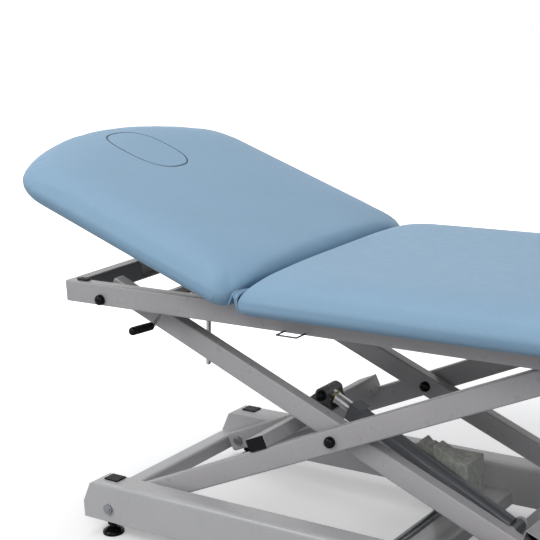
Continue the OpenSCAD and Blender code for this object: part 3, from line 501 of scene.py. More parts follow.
def new_piece(name, points, faces, slot, smooth=35.0, outward=True):
    """Mesh object at the origin from row-frame points in metres."""
    mesh = bpy.data.meshes.new(name)
    mesh.from_pydata([tuple(p) for p in points], [], faces)
    shell = bmesh.new()
    shell.from_mesh(mesh)
    bmesh.ops.remove_doubles(shell, verts=shell.verts, dist=2e-6)
    if outward:
        bmesh.ops.recalc_face_normals(shell, faces=shell.faces)
    shell.to_mesh(mesh)
    shell.free()
    return add_piece(name, mesh, slot, smooth)


def add_piece(name, mesh, slot, smooth=35.0):
    """Object at the origin from a mesh, smooth but for edges sharper than the given degrees."""
    mesh.name = name
    mesh.polygons.foreach_set("use_smooth", [True] * len(mesh.polygons))
    if smooth is not None:
        mesh.set_sharp_from_angle(angle=math.radians(smooth))
    mesh.materials.clear()
    mesh.materials.append(finish_of(slot))
    piece = bpy.data.objects.new(name, mesh)
    bpy.context.scene.collection.objects.link(piece)
    return piece


def settle(piece, body, slot, *nodes):
    """Gives a finished piece its body and hides the frame nodes that it stands for; slot is not used."""
    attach(piece, body)
    if nodes:
        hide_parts(*nodes)
    return piece


def evaluated_copy(piece):
    """Plain mesh of a piece with its modifiers carried out."""
    graph = bpy.context.evaluated_depsgraph_get()
    return bpy.data.meshes.new_from_object(piece.evaluated_get(graph))


def apply_modifiers(piece):
    """Puts a plain mesh in a piece in place of its modifiers."""
    mesh = evaluated_copy(piece)
    piece.modifiers.clear()
    piece.data = mesh


def stacked(rings, closed_ends=True, looped=False):
    """Faces over a stack of equal rings."""
    n, m = len(rings[0]), len(rings)
    faces = []
    for j in range(m if looped else m - 1):
        a, b = j * n, ((j + 1) % m) * n
        faces += [(a + i, a + (i + 1) % n, b + (i + 1) % n, b + i) for i in range(n)]
    if closed_ends and not looped:
        faces.append(tuple(range(n))[::-1])
        faces.append(tuple(range((m - 1) * n, m * n)))
    return [p for r in rings for p in r], faces


def round_rect(width, height, radius, inset=0.0, steps=5):
    """Rectangle outline about the origin with rounded corners, drawn in by an inset."""
    w, h = width / 2 - inset, height / 2 - inset
    r = max(radius - inset, 0.2)
    points = []
    corners = ((w - r, h - r, 0), (-w + r, h - r, 90), (-w + r, -h + r, 180), (w - r, -h + r, 270))
    for cx, cy, a0 in corners:
        for k in range(steps + 1):
            a = math.radians(a0 + 90 * k / steps)
            points.append((cx + r * math.cos(a), cy + r * math.sin(a)))
    return points


def bar_between(start, end, outline, edge):
    """Rings of a bar whose outline(inset) is drawn across the way from start to end."""
    length = end - start
    turns = [math.radians(t) for t in (0, 30, 60, 90)]
    rings = [(start + edge * (1 - math.cos(t)), edge * (1 - math.sin(t))) for t in turns]
    back = [(end - (p - start), i) for p, i in rings[::-1]]
    middle = [(start + length * k / 8, 0.0) for k in range(1, 8)]
    return [(p, outline(i)) for p, i in rings + middle + back]


def softened(node, slot, width, long_only):
    """Copy of a frame node, which it stands for, with its outer edges rounded."""
    source = frame["nodes"][node]
    mesh = source.data.copy()
    shell = bmesh.new()
    shell.from_mesh(mesh)
    bmesh.ops.remove_doubles(shell, verts=shell.verts, dist=4e-6)
    bmesh.ops.dissolve_limit(shell, angle_limit=math.radians(0.5), verts=shell.verts, edges=shell.edges)
    weight = shell.edges.layers.float.new("bevel_weight_edge")
    for edge in shell.edges:
        if len(edge.link_faces) != 2 or not edge.is_convex:
            continue
        if edge.calc_face_angle(0) > math.radians(28.0) and edge.calc_length() * 1000 >= long_only:
            edge[weight] = 1.0
    shell.to_mesh(mesh)
    shell.free()
    piece = add_piece(node + "_finished", mesh, slot)
    bevel = piece.modifiers.new("edge", "BEVEL")
    bevel.limit_method = "WEIGHT"
    bevel.width = width / 1000
    bevel.segments = 2
    bevel.harden_normals = True
    bevel.use_clamp_overlap = long_only == 0.0
    apply_modifiers(piece)
    return settle(piece, source["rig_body"], slot, node)


# Geometry nodes


def node_group(name, inputs):
    """Empty geometry tree with a mesh in, a mesh out and named size inputs."""
    tree = bpy.data.node_groups.new(name, "GeometryNodeTree")
    tree.interface.new_socket("Geometry", in_out="INPUT", socket_type="NodeSocketGeometry")
    for label, kind, default in inputs:
        socket = tree.interface.new_socket(label, in_out="INPUT", socket_type=kind)
        if default is not None:
            socket.default_value = default
    tree.interface.new_socket("Geometry", in_out="OUTPUT", socket_type="NodeSocketGeometry")
    return tree, tree.nodes.new("NodeGroupInput"), tree.nodes.new("NodeGroupOutput")


def end_tree(tree, source, last, output, sink):
    """Ends a tree in Realize Instances and Set Material."""
    real = add_node(tree, "GeometryNodeRealizeInstances")
    paint = add_node(tree, "GeometryNodeSetMaterial")
    wire(
        tree,
        (last, output, real, "Geometry"),
        (real, "Geometry", paint, "Geometry"),
        (source, "Finish", paint, "Material"),
        (paint, "Geometry", sink, "Geometry"),
    )


def repeat_on_points(name):
    """Tree that sets one small part on every point of a mesh, turned to its stored facing."""
    tree, source, sink = node_group(
        name,
        [
            ("Part", "NodeSocketObject", None),
            ("Size", "NodeSocketFloat", 1.0),
            ("Finish", "NodeSocketMaterial", None),
        ],
    )
    info = add_node(tree, "GeometryNodeObjectInfo")
    place = add_node(tree, "GeometryNodeInstanceOnPoints")
    facing = add_node(tree, "GeometryNodeInputNamedAttribute", {"Name": "facing"}, data_type="FLOAT_VECTOR")
    wire(
        tree,
        (source, "Part", info, "Object"),
        (info, "Geometry", place, "Instance"),
        (source, "Geometry", place, "Points"),
        (facing, "Attribute", place, "Rotation"),
        (source, "Size", place, "Scale"),
    )
    end_tree(tree, source, place, "Instances", sink)
    return tree


def swept_bead(name):
    """Tree that sweeps a round bead, of an uneven radius, along every edge chain of a mesh."""
    tree, source, sink = node_group(
        name,
        [
            ("Radius", "NodeSocketFloat", 0.001),
            ("Ripple", "NodeSocketFloat", 0.0002),
            ("Ripple Length", "NodeSocketFloat", 0.002),
            ("Seed", "NodeSocketFloat", 3.0),
            ("Finish", "NodeSocketMaterial", None),
        ],
    )
    curve = add_node(tree, "GeometryNodeMeshToCurve")
    sample = add_node(tree, "GeometryNodeResampleCurve", {"Count": 90})
    scale = add_node(tree, "ShaderNodeMath", {0: 1.0}, operation="DIVIDE")
    ripple = add_node(tree, "ShaderNodeTexNoise", {"Detail": 1.0}, noise_dimensions="4D")
    uneven = add_node(tree, "ShaderNodeMath", operation="MULTIPLY_ADD")
    radius = add_node(tree, "GeometryNodeSetCurveRadius")
    circle = add_node(tree, "GeometryNodeCurvePrimitiveCircle", {"Resolution": 10, "Radius": 1.0})
    mesh = add_node(tree, "GeometryNodeCurveToMesh", {"Fill Caps": True})
    smooth = add_node(tree, "GeometryNodeSetShadeSmooth")
    wire(
        tree,
        (source, "Geometry", curve, "Mesh"),
        (curve, "Curve", sample, "Curve"),
        (source, "Ripple Length", scale, 1),
        (scale, 0, ripple, "Scale"),
        (source, "Seed", ripple, "W"),
        (ripple, "Fac", uneven, 0),
        (source, "Ripple", uneven, 1),
        (source, "Radius", uneven, 2),
        (sample, "Curve", radius, "Curve"),
        (uneven, 0, radius, "Radius"),
        (radius, "Curve", mesh, "Curve"),
        (circle, "Curve", mesh, "Profile Curve"),
        (mesh, "Mesh", smooth, "Geometry"),
    )
    end_tree(tree, source, smooth, "Geometry", sink)
    if "Scale" in mesh.inputs:
        wire(tree, (add_node(tree, "GeometryNodeInputRadius"), 0, mesh, "Scale"))
    return tree


def run_tree(name, carrier, tree, values, slot):
    """Mesh that a geometry tree makes from a carrier mesh, as a new plain piece."""
    holder = bpy.data.objects.new(name + "_points", carrier)
    bpy.context.scene.collection.objects.link(holder)
    modifier = holder.modifiers.new("repeat", "NODES")
    modifier.node_group = tree
    for item in tree.interface.items_tree:
        if item.item_type == "SOCKET" and item.in_out == "INPUT" and item.name in values:
            modifier[item.identifier] = values[item.name]
    mesh = evaluated_copy(holder)
    holder.modifiers.clear()
    bpy.data.objects.remove(holder)
    return add_piece(name, mesh, slot)


def repeated(name, part, spots, slot):
    """Sets a small part at each (place, facing) spot; facing is an Euler turn in radians."""
    carrier = bpy.data.meshes.new(name + "_spots")
    carrier.from_pydata([tuple(p) for p, _ in spots], [], [])
    facing = carrier.attributes.new("facing", "FLOAT_VECTOR", "POINT")
    facing.data.foreach_set("vector", np.array([f for _, f in spots], float).ravel())
    tree = bpy.data.node_groups.get("part_on_points") or repeat_on_points("part_on_points")
    values = {"Part": part, "Size": 1.0, "Finish": finish_of(slot)}
    return run_tree(name, carrier, tree, values, slot)


def beads(name, lines, slot, ripple):
    """Rounded bead along each open line of row-frame points; ripple is a share of its radius."""
    points, edges = [], []
    for line in lines:
        start = len(points)
        points += [tuple(p) for p in line]
        edges += [(start + k, start + k + 1) for k in range(len(line) - 1)]
    carrier = bpy.data.meshes.new(name + "_lines")
    carrier.from_pydata(points, edges, [])
    tree = bpy.data.node_groups.get("swept_bead") or swept_bead("swept_bead")
    values = {
        "Radius": BEAD_RADIUS,
        "Ripple": BEAD_RADIUS * ripple,
        "Ripple Length": BEAD_RADIUS * 2.2,
        "Seed": 3.0,
        "Finish": finish_of(slot),
    }
    return run_tree(name, carrier, tree, values, slot)


def turned_part(name, profile, slot, count=40):
    """Small lathe part about Z from (radius, height) pairs in millimetres."""
    turns = [2 * math.pi * i / count for i in range(count)]
    rings = [
        [(r / 1000 * math.cos(t), r / 1000 * math.sin(t), z / 1000) for t in turns] for r, z in profile
    ]
    points, faces = stacked(rings)
    return new_piece(name, points, faces, slot)


def discard(part):
    """Removes a form that was only needed to make other pieces."""
    bpy.data.objects.remove(part)


# Cushions


def arc(cx, cy, r, a0, a1, n):
    """Points round a centre from one angle to another, in degrees."""
    turns = [math.radians(a0 + (a1 - a0) * i / n) for i in range(n + 1)]
    return [(cx + r * math.cos(t), cy + r * math.sin(t)) for t in turns]


def cushion_outline(length, inset, inset_x):
    """Plan of a cushion: straight sides, arched outer end, rounded corners."""
    half = PAD_WIDTH / 2 - inset
    corner, trim = (HEAD_INNER_CORNER, HEAD_TRIM) if length == HEAD_LENGTH else (INNER_CORNER, 0.0)
    ri = max(corner - inset_x + CORNER_GROWTH * (inset - inset_x), TIGHTEST_CORNER)
    start = trim + inset_x + ri
    rc = max(OUTER_CORNER - inset, TIGHTEST_CORNER)
    re = END_RADIUS - inset
    dy = half - rc
    dx = math.sqrt((re - rc) ** 2 - dy * dy)
    cx = length - END_RADIUS
    a = math.degrees(math.atan2(dy, dx))
    return (
        arc(start, -half + ri, ri, 180, 270, 12)
        + arc(cx + dx, -dy, rc, -90, -a, 18)
        + arc(cx, 0, re, -a, a, 40)[1:-1]
        + arc(cx + dx, dy, rc, a, 90, 18)
        + arc(start, half - ri, ri, 90, 180, 12)
    )


def turned_in(length, degrees, shrink=0.0):
    """Plan of a cushion where its side has leant in by the given turn, from 0 at the widest place."""
    lean = 1 - math.cos(math.radians(degrees))
    return cushion_outline(length, SIDE_RUN * lean + shrink, HINGE_RUN * lean + shrink)


def reach(outline, centre, angles):
    """Distance from a centre to a convex outline along each angle."""
    p = np.array(outline) - np.array([centre, 0.0])
    q = np.roll(p, -1, axis=0)
    d = np.stack([np.cos(angles), np.sin(angles)], axis=1)
    e = q - p
    out = np.zeros(len(angles))
    for k, (ux, uy) in enumerate(d):
        den = ux * e[:, 1] - uy * e[:, 0]
        den[abs(den) < 1e-9] = 1e-9
        t = (p[:, 0] * e[:, 1] - p[:, 1] * e[:, 0]) / den
        s = (p[:, 0] * uy - p[:, 1] * ux) / den
        good = (t > 0) & (s >= -1e-6) & (s <= 1 + 1e-6)
        out[k] = t[good].min()
    return out


def oblong_reach(length, width, angles):
    """Distance from the middle of the face opening to its edge along each angle."""
    c, s = abs(np.cos(angles)) / (length / 2), abs(np.sin(angles)) / (width / 2)
    return (c**HOLE_SQUARENESS + s**HOLE_SQUARENESS) ** (-1 / HOLE_SQUARENESS)


def cover_angles(length, centre, count):
    """Angles round a centre, closer together where the outline bends or lies far off."""
    outline = np.array(cushion_outline(length, 0, 0)) - np.array([centre, 0.0])
    closed = np.vstack([outline, outline[:1]])
    step = np.hypot(*np.diff(closed, axis=0).T)
    turn = np.unwrap(np.arctan2(closed[:, 1], closed[:, 0]))
    along = np.concatenate([[0], np.cumsum(step)])
    fine = np.linspace(0, along[-1], count * 8, endpoint=False)
    ang = np.interp(fine, along, turn)
    p = np.stack([np.interp(fine, along, closed[:, 0]), np.interp(fine, along, closed[:, 1])], axis=1)
    v = np.roll(p, -8, axis=0) - np.roll(p, 8, axis=0)
    heading = np.arctan2(v[:, 1], v[:, 0])
    bend = abs(np.angle(np.exp(1j * (np.roll(heading, -8) - np.roll(heading, 8)))))
    density = 1.0 + 30.0 * bend
    total = np.concatenate([[0], np.cumsum(density)])
    pick = np.interp(np.linspace(0, total[-1], count, endpoint=False), total, np.arange(len(total)))
    return np.sort(np.interp(pick, np.arange(len(ang) + 1), np.append(ang, ang[0] + 2 * math.pi)))


def plain_cushion(length, shrink):
    """Closed form of a cushion, a little smaller than it ends up, for the cover simulation."""
    rings = []
    for t in (90, 60, 30):
        inset = LOWER_ROUND * (1 - math.cos(math.radians(t))) + shrink
        z = LOWER_ROUND * (1 - math.sin(math.radians(t)))
        rings.append([(x, y, z) for x, y in cushion_outline(length, inset, inset)])
    for t in range(0, 91, 6):
        z = LOWER_ROUND + (PAD_THICK - shrink * 0.8 - LOWER_ROUND) * math.sin(math.radians(t))
        rings.append([(x, y, z) for x, y in turned_in(length, t, shrink)])
    return rings


def smoothed(shell, rounds):
    """Evens out the points of a mesh being edited."""
    for _ in range(rounds):
        bmesh.ops.smooth_vert(
            shell, verts=shell.verts, factor=0.5, use_axis_x=True, use_axis_y=True, use_axis_z=True
        )


def stretch_cover(length, voxel, cap, pressure):
    """Vinyl drawn over foam: a pressed cloth skin, fixed underneath, moved no further than cap."""
    points, faces = stacked(plain_cushion(length, FORM_SHRINK))
    mesh = bpy.data.meshes.new("cover_form")
    mesh.from_pydata([tuple(np.array(p) / 1000) for p in points], [], faces)
    form = bpy.data.objects.new("cover_form", mesh)
    bpy.context.scene.collection.objects.link(form)
    remesh = form.modifiers.new("remesh", "REMESH")
    remesh.mode = "VOXEL"
    remesh.voxel_size = voxel
    apply_modifiers(form)
    mesh = form.data
    shell = bmesh.new()
    shell.from_mesh(mesh)
    smoothed(shell, 4)
    shell.to_mesh(mesh)
    shell.free()
    rest, normal = vertex_values(mesh, "co"), vertex_values(mesh, "normal")
    push = np.zeros(len(rest))
    push = cloth_push(form, rest, normal, pressure)
    push = cap * np.tanh((push - np.median(push)) / cap)
    push *= np.clip((rest[:, 2] - STAPLED_HEIGHT) / 0.03, 0, 1)
    shift = (rest - rest.mean(axis=0)) * SWELL_SHARE * np.clip(rest[:, 2:] / 0.02, 0, 1)
    mesh.vertices.foreach_set("co", (rest + shift + normal * push[:, None]).ravel())
    shell = bmesh.new()
    shell.from_mesh(mesh)
    smoothed(shell, 5)
    shell.normal_update()
    tree = BVHTree.FromBMesh(shell)
    shell.free()
    discard(form)
    return tree


def vertex_values(mesh, key):
    """Places or normals of a mesh's points, a row for each."""
    values = np.zeros(len(mesh.vertices) * 3)
    mesh.vertices.foreach_get(key, values)
    return values.reshape(-1, 3)


def cloth_push(form, rest, normal, pressure):
    """How far each point moves outwards in a cloth simulation with the foam's pressure."""
    pins = form.vertex_groups.new(name="stapled")
    pins.add([int(i) for i in np.nonzero(rest[:, 2] < STAPLED_HEIGHT)[0]], 1.0, "REPLACE")
    cloth = form.modifiers.new("cloth", "CLOTH")
    for key, value in CLOTH.items():
        setattr(cloth.settings, key, value)
    cloth.settings.uniform_pressure_force = pressure
    cloth.settings.effector_weights.gravity = 0
    cloth.point_cache.frame_start = 1
    cloth.point_cache.frame_end = LAST_FRAME
    scene = bpy.context.scene
    for step in range(1, LAST_FRAME + 1):
        scene.frame_set(step)
    moved = vertex_values(evaluated_copy(form), "co")
    form.modifiers.clear()
    scene.frame_set(1)
    return ((moved - rest) * normal).sum(axis=1)


def from_above(tree, x, y):
    """Point of the stretched form, in metres, under a place in millimetres."""
    return tree.ray_cast(Vector((x / 1000, y / 1000, 0.3)), Vector((0, 0, -1)))[0]


def lip_drop(inward):
    """How far a rounded lip lies under the crown at a distance from the edge of the opening."""
    return PLUG_LIP * (1 - math.sqrt(max(0.0, 1 - (1 - inward / PLUG_LIP) ** 2)))


def on_crown(tree, reaches, angles, drop):
    """Ring round the middle of the face opening, a little under the crown of the cushion."""
    ring = []
    for rho, ux, uy in zip(reaches, np.cos(angles), np.sin(angles)):
        x, y = HOLE_CENTRE + rho * ux, rho * uy
        ring.append((x, y, from_above(tree, x, y).z * 1000 - drop))
    return ring


def cover_surface(length, centre, tree, hole=None):
    """Skin over the stretched form, in rings from its middle or opening to its widest place."""
    angles = cover_angles(length, centre, COVER_COLUMNS)
    leans = range(0, 91, 3)
    ends = np.array([reach(turned_in(length, t), centre, angles) for t in leans])
    rise = PAD_THICK - LOWER_ROUND
    heights = np.array([LOWER_ROUND + rise * math.sin(math.radians(t)) for t in leans])
    inner = oblong_reach(*hole, angles) if hole else np.full(len(angles), COVER_POLE)
    near = np.array(LIP_STEPS if hole else LIP_STEPS[:1], float)
    t = np.linspace(0, 1, COVER_ROWS)[1:]
    columns = []
    for k in range(len(angles)):
        rho, z = ends[::-1, k], heights[::-1]
        keep = rho > inner[k] + 0.5
        first = np.interp(inner[k], rho, z) if inner[k] > rho[0] else PAD_THICK
        r = np.concatenate([[inner[k]], rho[keep]])
        h = np.concatenate([[first], z[keep]])
        far = np.concatenate([[0], np.cumsum(np.hypot(np.diff(r), np.diff(h)))])
        s = np.concatenate([near, near[-1] + (far[-1] - near[-1]) * (0.35 * t + 0.65 * t * (2 - t))])
        s[-1] = far[-1]
        columns.append(np.stack([np.interp(s, far, r), np.interp(s, far, h)], axis=1))
    grid = np.array(columns)
    across = np.stack([np.cos(angles), np.sin(angles)], axis=1)
    rings = []
    for j in range(grid.shape[1]):
        ring = []
        for k in range(len(angles)):
            rho, z = grid[k, j]
            x, y = centre + rho * across[k, 0], rho * across[k, 1]
            if ends[0, k] - rho > SIDE_BAND:
                hit = from_above(tree, x, y)
            else:
                hit = tree.find_nearest(Vector((x / 1000, y / 1000, z / 1000)))[0]
            place = np.array([x, y, z]) if hit is None else np.array(hit) * 1000
            if hole and rho - inner[k] < PLUG_LIP:
                place = np.array([x, y, place[2] - lip_drop(rho - inner[k])])
            ring.append(place)
        rings.append(np.array(ring))
    return angles, across, rings, ends[0]


def cushion_rings(length, centre, tree, hole=None):
    """All rings of a cushion: skin, rolled lower edge, underside, recess and the opening's wall."""
    angles, across, rings, rim = cover_surface(length, centre, tree, hole)
    last = rings[-1]
    own = np.hypot(last[:, 0] - centre, last[:, 1]) - rim

    def ring_at(rho, z):
        """Ring at a distance from the centre for each angle."""
        return np.stack([centre + rho * across[:, 0], rho * across[:, 1], z], axis=1)

    for t in (12, 25, 38, 52, 66, 80, 90):
        c, s = math.cos(math.radians(t)), math.sin(math.radians(t))
        inset = LOWER_ROUND * (1 - c)
        flat = reach(cushion_outline(length, inset, inset), centre, angles)
        rings.append(ring_at(flat + own * c, last[:, 2] * (1 - s)))
    for inset, z in UNDERSIDE:
        flat = reach(cushion_outline(length, inset, inset), centre, angles)
        rings.append(ring_at(flat, np.full(len(flat), z)))
    if hole:
        for z in OPENING_WALL:
            wall = rings[0].copy()
            wall[:, 2] = np.minimum(z, wall[:, 2] - 2.0)
            rings.append(wall)
    return rings


def gather_corners(rings, length):
    """Radial gathers in the lower edge at the corners, strongest underneath and gone by mid-side."""
    inner = HEAD_INNER_CORNER if length == HEAD_LENGTH else INNER_CORNER
    far = length - OUTER_GATHERS
    corners = (
        (inner, -PAD_WIDTH / 2 + inner, inner, 1.0),
        (inner, PAD_WIDTH / 2 - inner, inner, 1.0),
        (far, -PAD_WIDTH / 2 + OUTER_CORNER, OUTER_CORNER, 0.8),
        (far, PAD_WIDTH / 2 - OUTER_CORNER, OUTER_CORNER, 0.8),
    )
    for ring in rings:
        for cx, cy, r, amount in corners:
            dx, dy = ring[:, 0] - cx, ring[:, 1] - cy
            a = np.arctan2(dy, dx)
            out = np.hypot(dx, dy)
            toward = math.atan2(math.copysign(1, cy), -1 if cx == inner else 1)
            off = abs(np.angle(np.exp(1j * (a - toward))))
            mask = np.clip(1 - off / 0.95, 0, 1) ** 0.7 * np.clip((out - r * 0.4) / (r * 0.5), 0, 1)
            low = np.clip(1 - ring[:, 2] / 34.0, 0, 1) ** 1.5
            wave = np.sin(a * (r * 0.62) + 1.7 * np.sin(a * 9)) * 0.5 + 0.5
            push = amount * mask * low * wave * GATHER_DEPTH
            ring[:, 0] -= push * np.cos(a)
            ring[:, 1] -= push * np.sin(a)


# Settings


class TableCovers(PropertyGroup):
    vinyl: FloatVectorProperty(
        name="Vinyl", description="Colour of the coated cover", default=(0.234, 0.384, 0.535), **COLOUR
    )
    board: FloatVectorProperty(
        name="Board", description="Colour of the plywood boards", default=(0.21, 0.185, 0.155), **COLOUR
    )
    grain: FloatProperty(
        name="Grain",
        description="Width of one pebble of the vinyl grain",
        default=0.0012,
        min=0.0003,
        max=0.005,
        unit="LENGTH",
    )
    swell: FloatProperty(
        name="Swell",
        description="Furthest that the stretched cover leaves its plain form",
        default=0.0016,
        min=0.0,
        max=0.01,
        unit="LENGTH",
    )
    pressure: FloatProperty(
        name="Foam pressure",
        description="Pressure of the foam on the cover while it is stretched",
        default=4.0,
        min=0.5,
        max=12.0,
    )
    voxel: FloatProperty(
        name="Cover mesh",
        description="Mesh width of the cover while it is stretched",
        default=0.0085,
        min=0.004,
        max=0.02,
        unit="LENGTH",
    )


class TableTubes(PropertyGroup):
    frame_paint: FloatVectorProperty(
        name="Frame paint",
        description="Powder coat of the top frame and the arms",
        default=(0.465, 0.452, 0.467),
        **COLOUR,
    )
    base_paint: FloatVectorProperty(
        name="Base paint", description="Powder coat of the base", default=(0.58, 0.58, 0.59), **COLOUR
    )
    dark_paint: FloatVectorProperty(
        name="Dark paint",
        description="Paint of the cylinder, the lock housing and the crossbar plate",
        default=(0.11, 0.12, 0.135),
        **COLOUR,
    )
    casting: FloatVectorProperty(
        name="Casting", description="Paint of the pump casting", default=(0.6, 0.62, 0.57), **COLOUR
    )
    chrome: FloatVectorProperty(
        name="Chrome", description="Plating of the rods", default=(0.58, 0.58, 0.59), **COLOUR
    )
    edge: FloatProperty(
        name="Tube edge",
        description="Radius of the long edges of the tubes",
        default=0.004,
        min=0.0005,
        max=0.006,
        unit="LENGTH",
    )


class TableStage(PropertyGroup):
    camera_place: FloatVectorProperty(
        name="Camera",
        description="Place of the camera",
        default=(1.383184, -2.442166, 1.337076),
        size=3,
        subtype="TRANSLATION",
        unit="LENGTH",
    )
    yaw: FloatProperty(
        name="Yaw", description="Turn of the camera about the vertical", default=0.63146, subtype="ANGLE"
    )
    pitch: FloatProperty(
        name="Pitch", description="Downward tilt of the camera", default=0.23385, subtype="ANGLE"
    )
    roll: FloatProperty(
        name="Roll", description="Turn of the camera about its own axis", default=-0.05244, subtype="ANGLE"
    )
    lens: FloatProperty(
        name="Lens",
        description="Focal length in millimetres on a 36 mm frame",
        default=89.346,
        min=20,
        max=200,
    )
    floor: FloatVectorProperty(
        name="Floor", description="Colour of the floor", default=(0.86, 0.86, 0.87), **COLOUR
    )
    bounce: FloatVectorProperty(
        name="Floor bounce",
        description="Colour of the light that the floor sends back",
        default=(0.4, 0.4, 0.41),
        **COLOUR,
    )
    key_power: FloatProperty(
        name="Key light",
        description="Power of the two soft boxes at the near side",
        default=175.0,
        min=0,
        subtype="POWER",
    )
    top_power: FloatProperty(
        name="Overhead light",
        description="Power of the wide light above the table",
        default=92.0,
        min=0,
        subtype="POWER",
    )
    sky: FloatProperty(
        name="Surround",
        description="Strength of the even light from all round",
        default=0.26,
        min=0,
        max=2,
    )


# Operators


class TABLE_OT_seat_cushion(Operator):
    """Build the long seat cushion"""

    bl_idname = "table.seat_cushion"
    bl_label = "Seat cushion"

    def execute(self, context):
        covers = context.scene.table_covers
        tree = stretch_cover(SEAT_LENGTH, covers.voxel, covers.swell, covers.pressure)
        rings = cushion_rings(SEAT_LENGTH, SEAT_LENGTH / 2, tree)
        gather_corners(rings[30:-4], SEAT_LENGTH)
        points, faces = stacked([seat_place(ring) for ring in rings])
        piece = new_piece("seat_cushion", metres(points), faces, "seat_vinyl", smooth=70)
        settle(piece, "top_frame", "vinyl", "seat_pad")
        return {"FINISHED"}


class TABLE_OT_head_cushion(Operator):
    """Build the raised head cushion with its face opening, and the plug that fills it"""

    bl_idname = "table.head_cushion"
    bl_label = "Head cushion and plug"

    def execute(self, context):
        covers = context.scene.table_covers
        tree = stretch_cover(HEAD_LENGTH, covers.voxel * 0.85, covers.swell, covers.pressure)
        rings = cushion_rings(HEAD_LENGTH, HOLE_CENTRE, tree, HOLE_SIZE)
        gather_corners(rings[34:-7], HEAD_LENGTH)
        points, faces = stacked([head_place(ring) for ring in rings], looped=True)
        piece = new_piece("head_cushion", metres(raised(points)), faces, "head_vinyl", smooth=70)
        settle(piece, "head_section", "vinyl", "back_pad")
        self.plug(tree)
        self.binding(tree)
        return {"FINISHED"}

    def binding(self, tree):
        """Dark cord along the edge of the face opening, down in the gap round the plug: a dark piece where
        there is only shade, painted shade for the line round the plug.
        """
        angles = np.linspace(0, 2 * math.pi, 181)
        edge = oblong_reach(*HOLE_SIZE, angles) - PLUG_GAP / 2
        line = metres(raised(head_place(on_crown(tree, edge, angles, CORD_DEPTH))))
        cord = beads("opening_binding", [line], "binding", ripple=0.0)
        settle(cord, "head_section", "vinyl")

    def plug(self, tree):
        """Lift-out plug, its top following the crown of the cushion round it."""
        angles = np.linspace(0, 2 * math.pi, PLUG_COLUMNS, endpoint=False)
        edge = oblong_reach(HOLE_SIZE[0] - 2 * PLUG_GAP, HOLE_SIZE[1] - 2 * PLUG_GAP, angles)
        rings = [on_crown(tree, edge * share, angles, 0.0) for share in PLUG_SHARES]
        rings += [on_crown(tree, edge - inward, angles, lip_drop(inward)) for inward in PLUG_LIP_STEPS]
        for z, inset in PLUG_WALL:
            wall = zip(edge - inset, np.cos(angles), np.sin(angles))
            rings.append([(HOLE_CENTRE + rho * ux, rho * uy, z) for rho, ux, uy in wall])
        points, faces = stacked([head_place(ring) for ring in rings])
        piece = new_piece("face_plug_cushion", metres(raised(points)), faces, "vinyl", smooth=60)
        settle(piece, "plug", "vinyl", "face_plug")


def along(guide, shares):
    """Places along a guide of given points, at shares from 0 to 1, on a smooth curve."""
    g = np.array(guide, float)
    spots = []
    for share in shares:
        t = share * (len(g) - 1)
        k = min(int(t), len(g) - 2)
        f = t - k
        before, after = g[max(k - 1, 0)], g[min(k + 2, len(g) - 1)]
        slope_a, slope_b = (g[k + 1] - before) / 2, (after - g[k]) / 2
        h = f * f * (3 - 2 * f)
        ease_a, ease_b = f**3 - 2 * f * f + f, f**3 - f * f
        spots.append(g[k] + h * (g[k + 1] - g[k]) + ease_a * slope_a + ease_b * slope_b)
    return np.array(spots)


class TABLE_OT_hinge_gussets(Operator):
    """Build the gathered strips of vinyl that bridge the two cushions at the hinge"""

    bl_idname = "table.hinge_gussets"
    bl_label = "Hinge gussets"

    def gathered(self):
        """Points of the near strip, folded and puckered, in the drawing."""
        shares = np.linspace(0, 1, GUSSET_LINES + 1)
        curves = np.array([along(guide, shares) for guide in GUSSET_GUIDES])
        across = np.linspace(0, 1, GUSSET_COLUMNS + 1)
        strip = np.array([along(curves[:, j], across) for j in range(len(shares))])
        for j in range(len(shares)):
            v = j / GUSSET_LINES
            depth = 0.5 + 0.7 * math.sin(math.pi * min(1, v * 1.3)) ** 2
            for i in range(len(across)):
                u = i / GUSSET_COLUMNS
                crease = math.sin(u * 26 + 3.0 * math.sin(v * 9)) * depth
                pucker = math.sin(v * 46 + 5 * math.sin(u * 7)) * 0.55 * min(1.0, v * 2)
                strip[j, i] += (0.25 * pucker, -0.55 * crease - 0.3 * pucker, 0.8 * crease + 0.4 * pucker)
        return strip.reshape(-1, 3)

    def execute(self, context):
        strip = self.gathered()
        row = GUSSET_COLUMNS + 1
        corners = [j * row + i for j in range(GUSSET_LINES) for i in range(GUSSET_COLUMNS)]
        for name, mirrored in (("hinge_gusset_near", False), ("hinge_gusset_far", True)):
            points = strip.copy()
            if mirrored:
                points[:, 1] = FRAME_WIDTH - points[:, 1]
            faces = [(a, a + 1, a + row + 1, a + row)[:: 1 if mirrored else -1] for a in corners]
            sheet = new_piece(name, metres(points), faces, "vinyl", smooth=None, outward=False)
            thick = sheet.modifiers.new("thickness", "SOLIDIFY")
            thick.thickness = 0.0011
            thick.offset = 0.0
            fine = sheet.modifiers.new("fine", "SUBSURF")
            fine.levels = fine.render_levels = 1
            apply_modifiers(sheet)
            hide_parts("hinge_gusset")
            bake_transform(sheet)
        return {"FINISHED"}


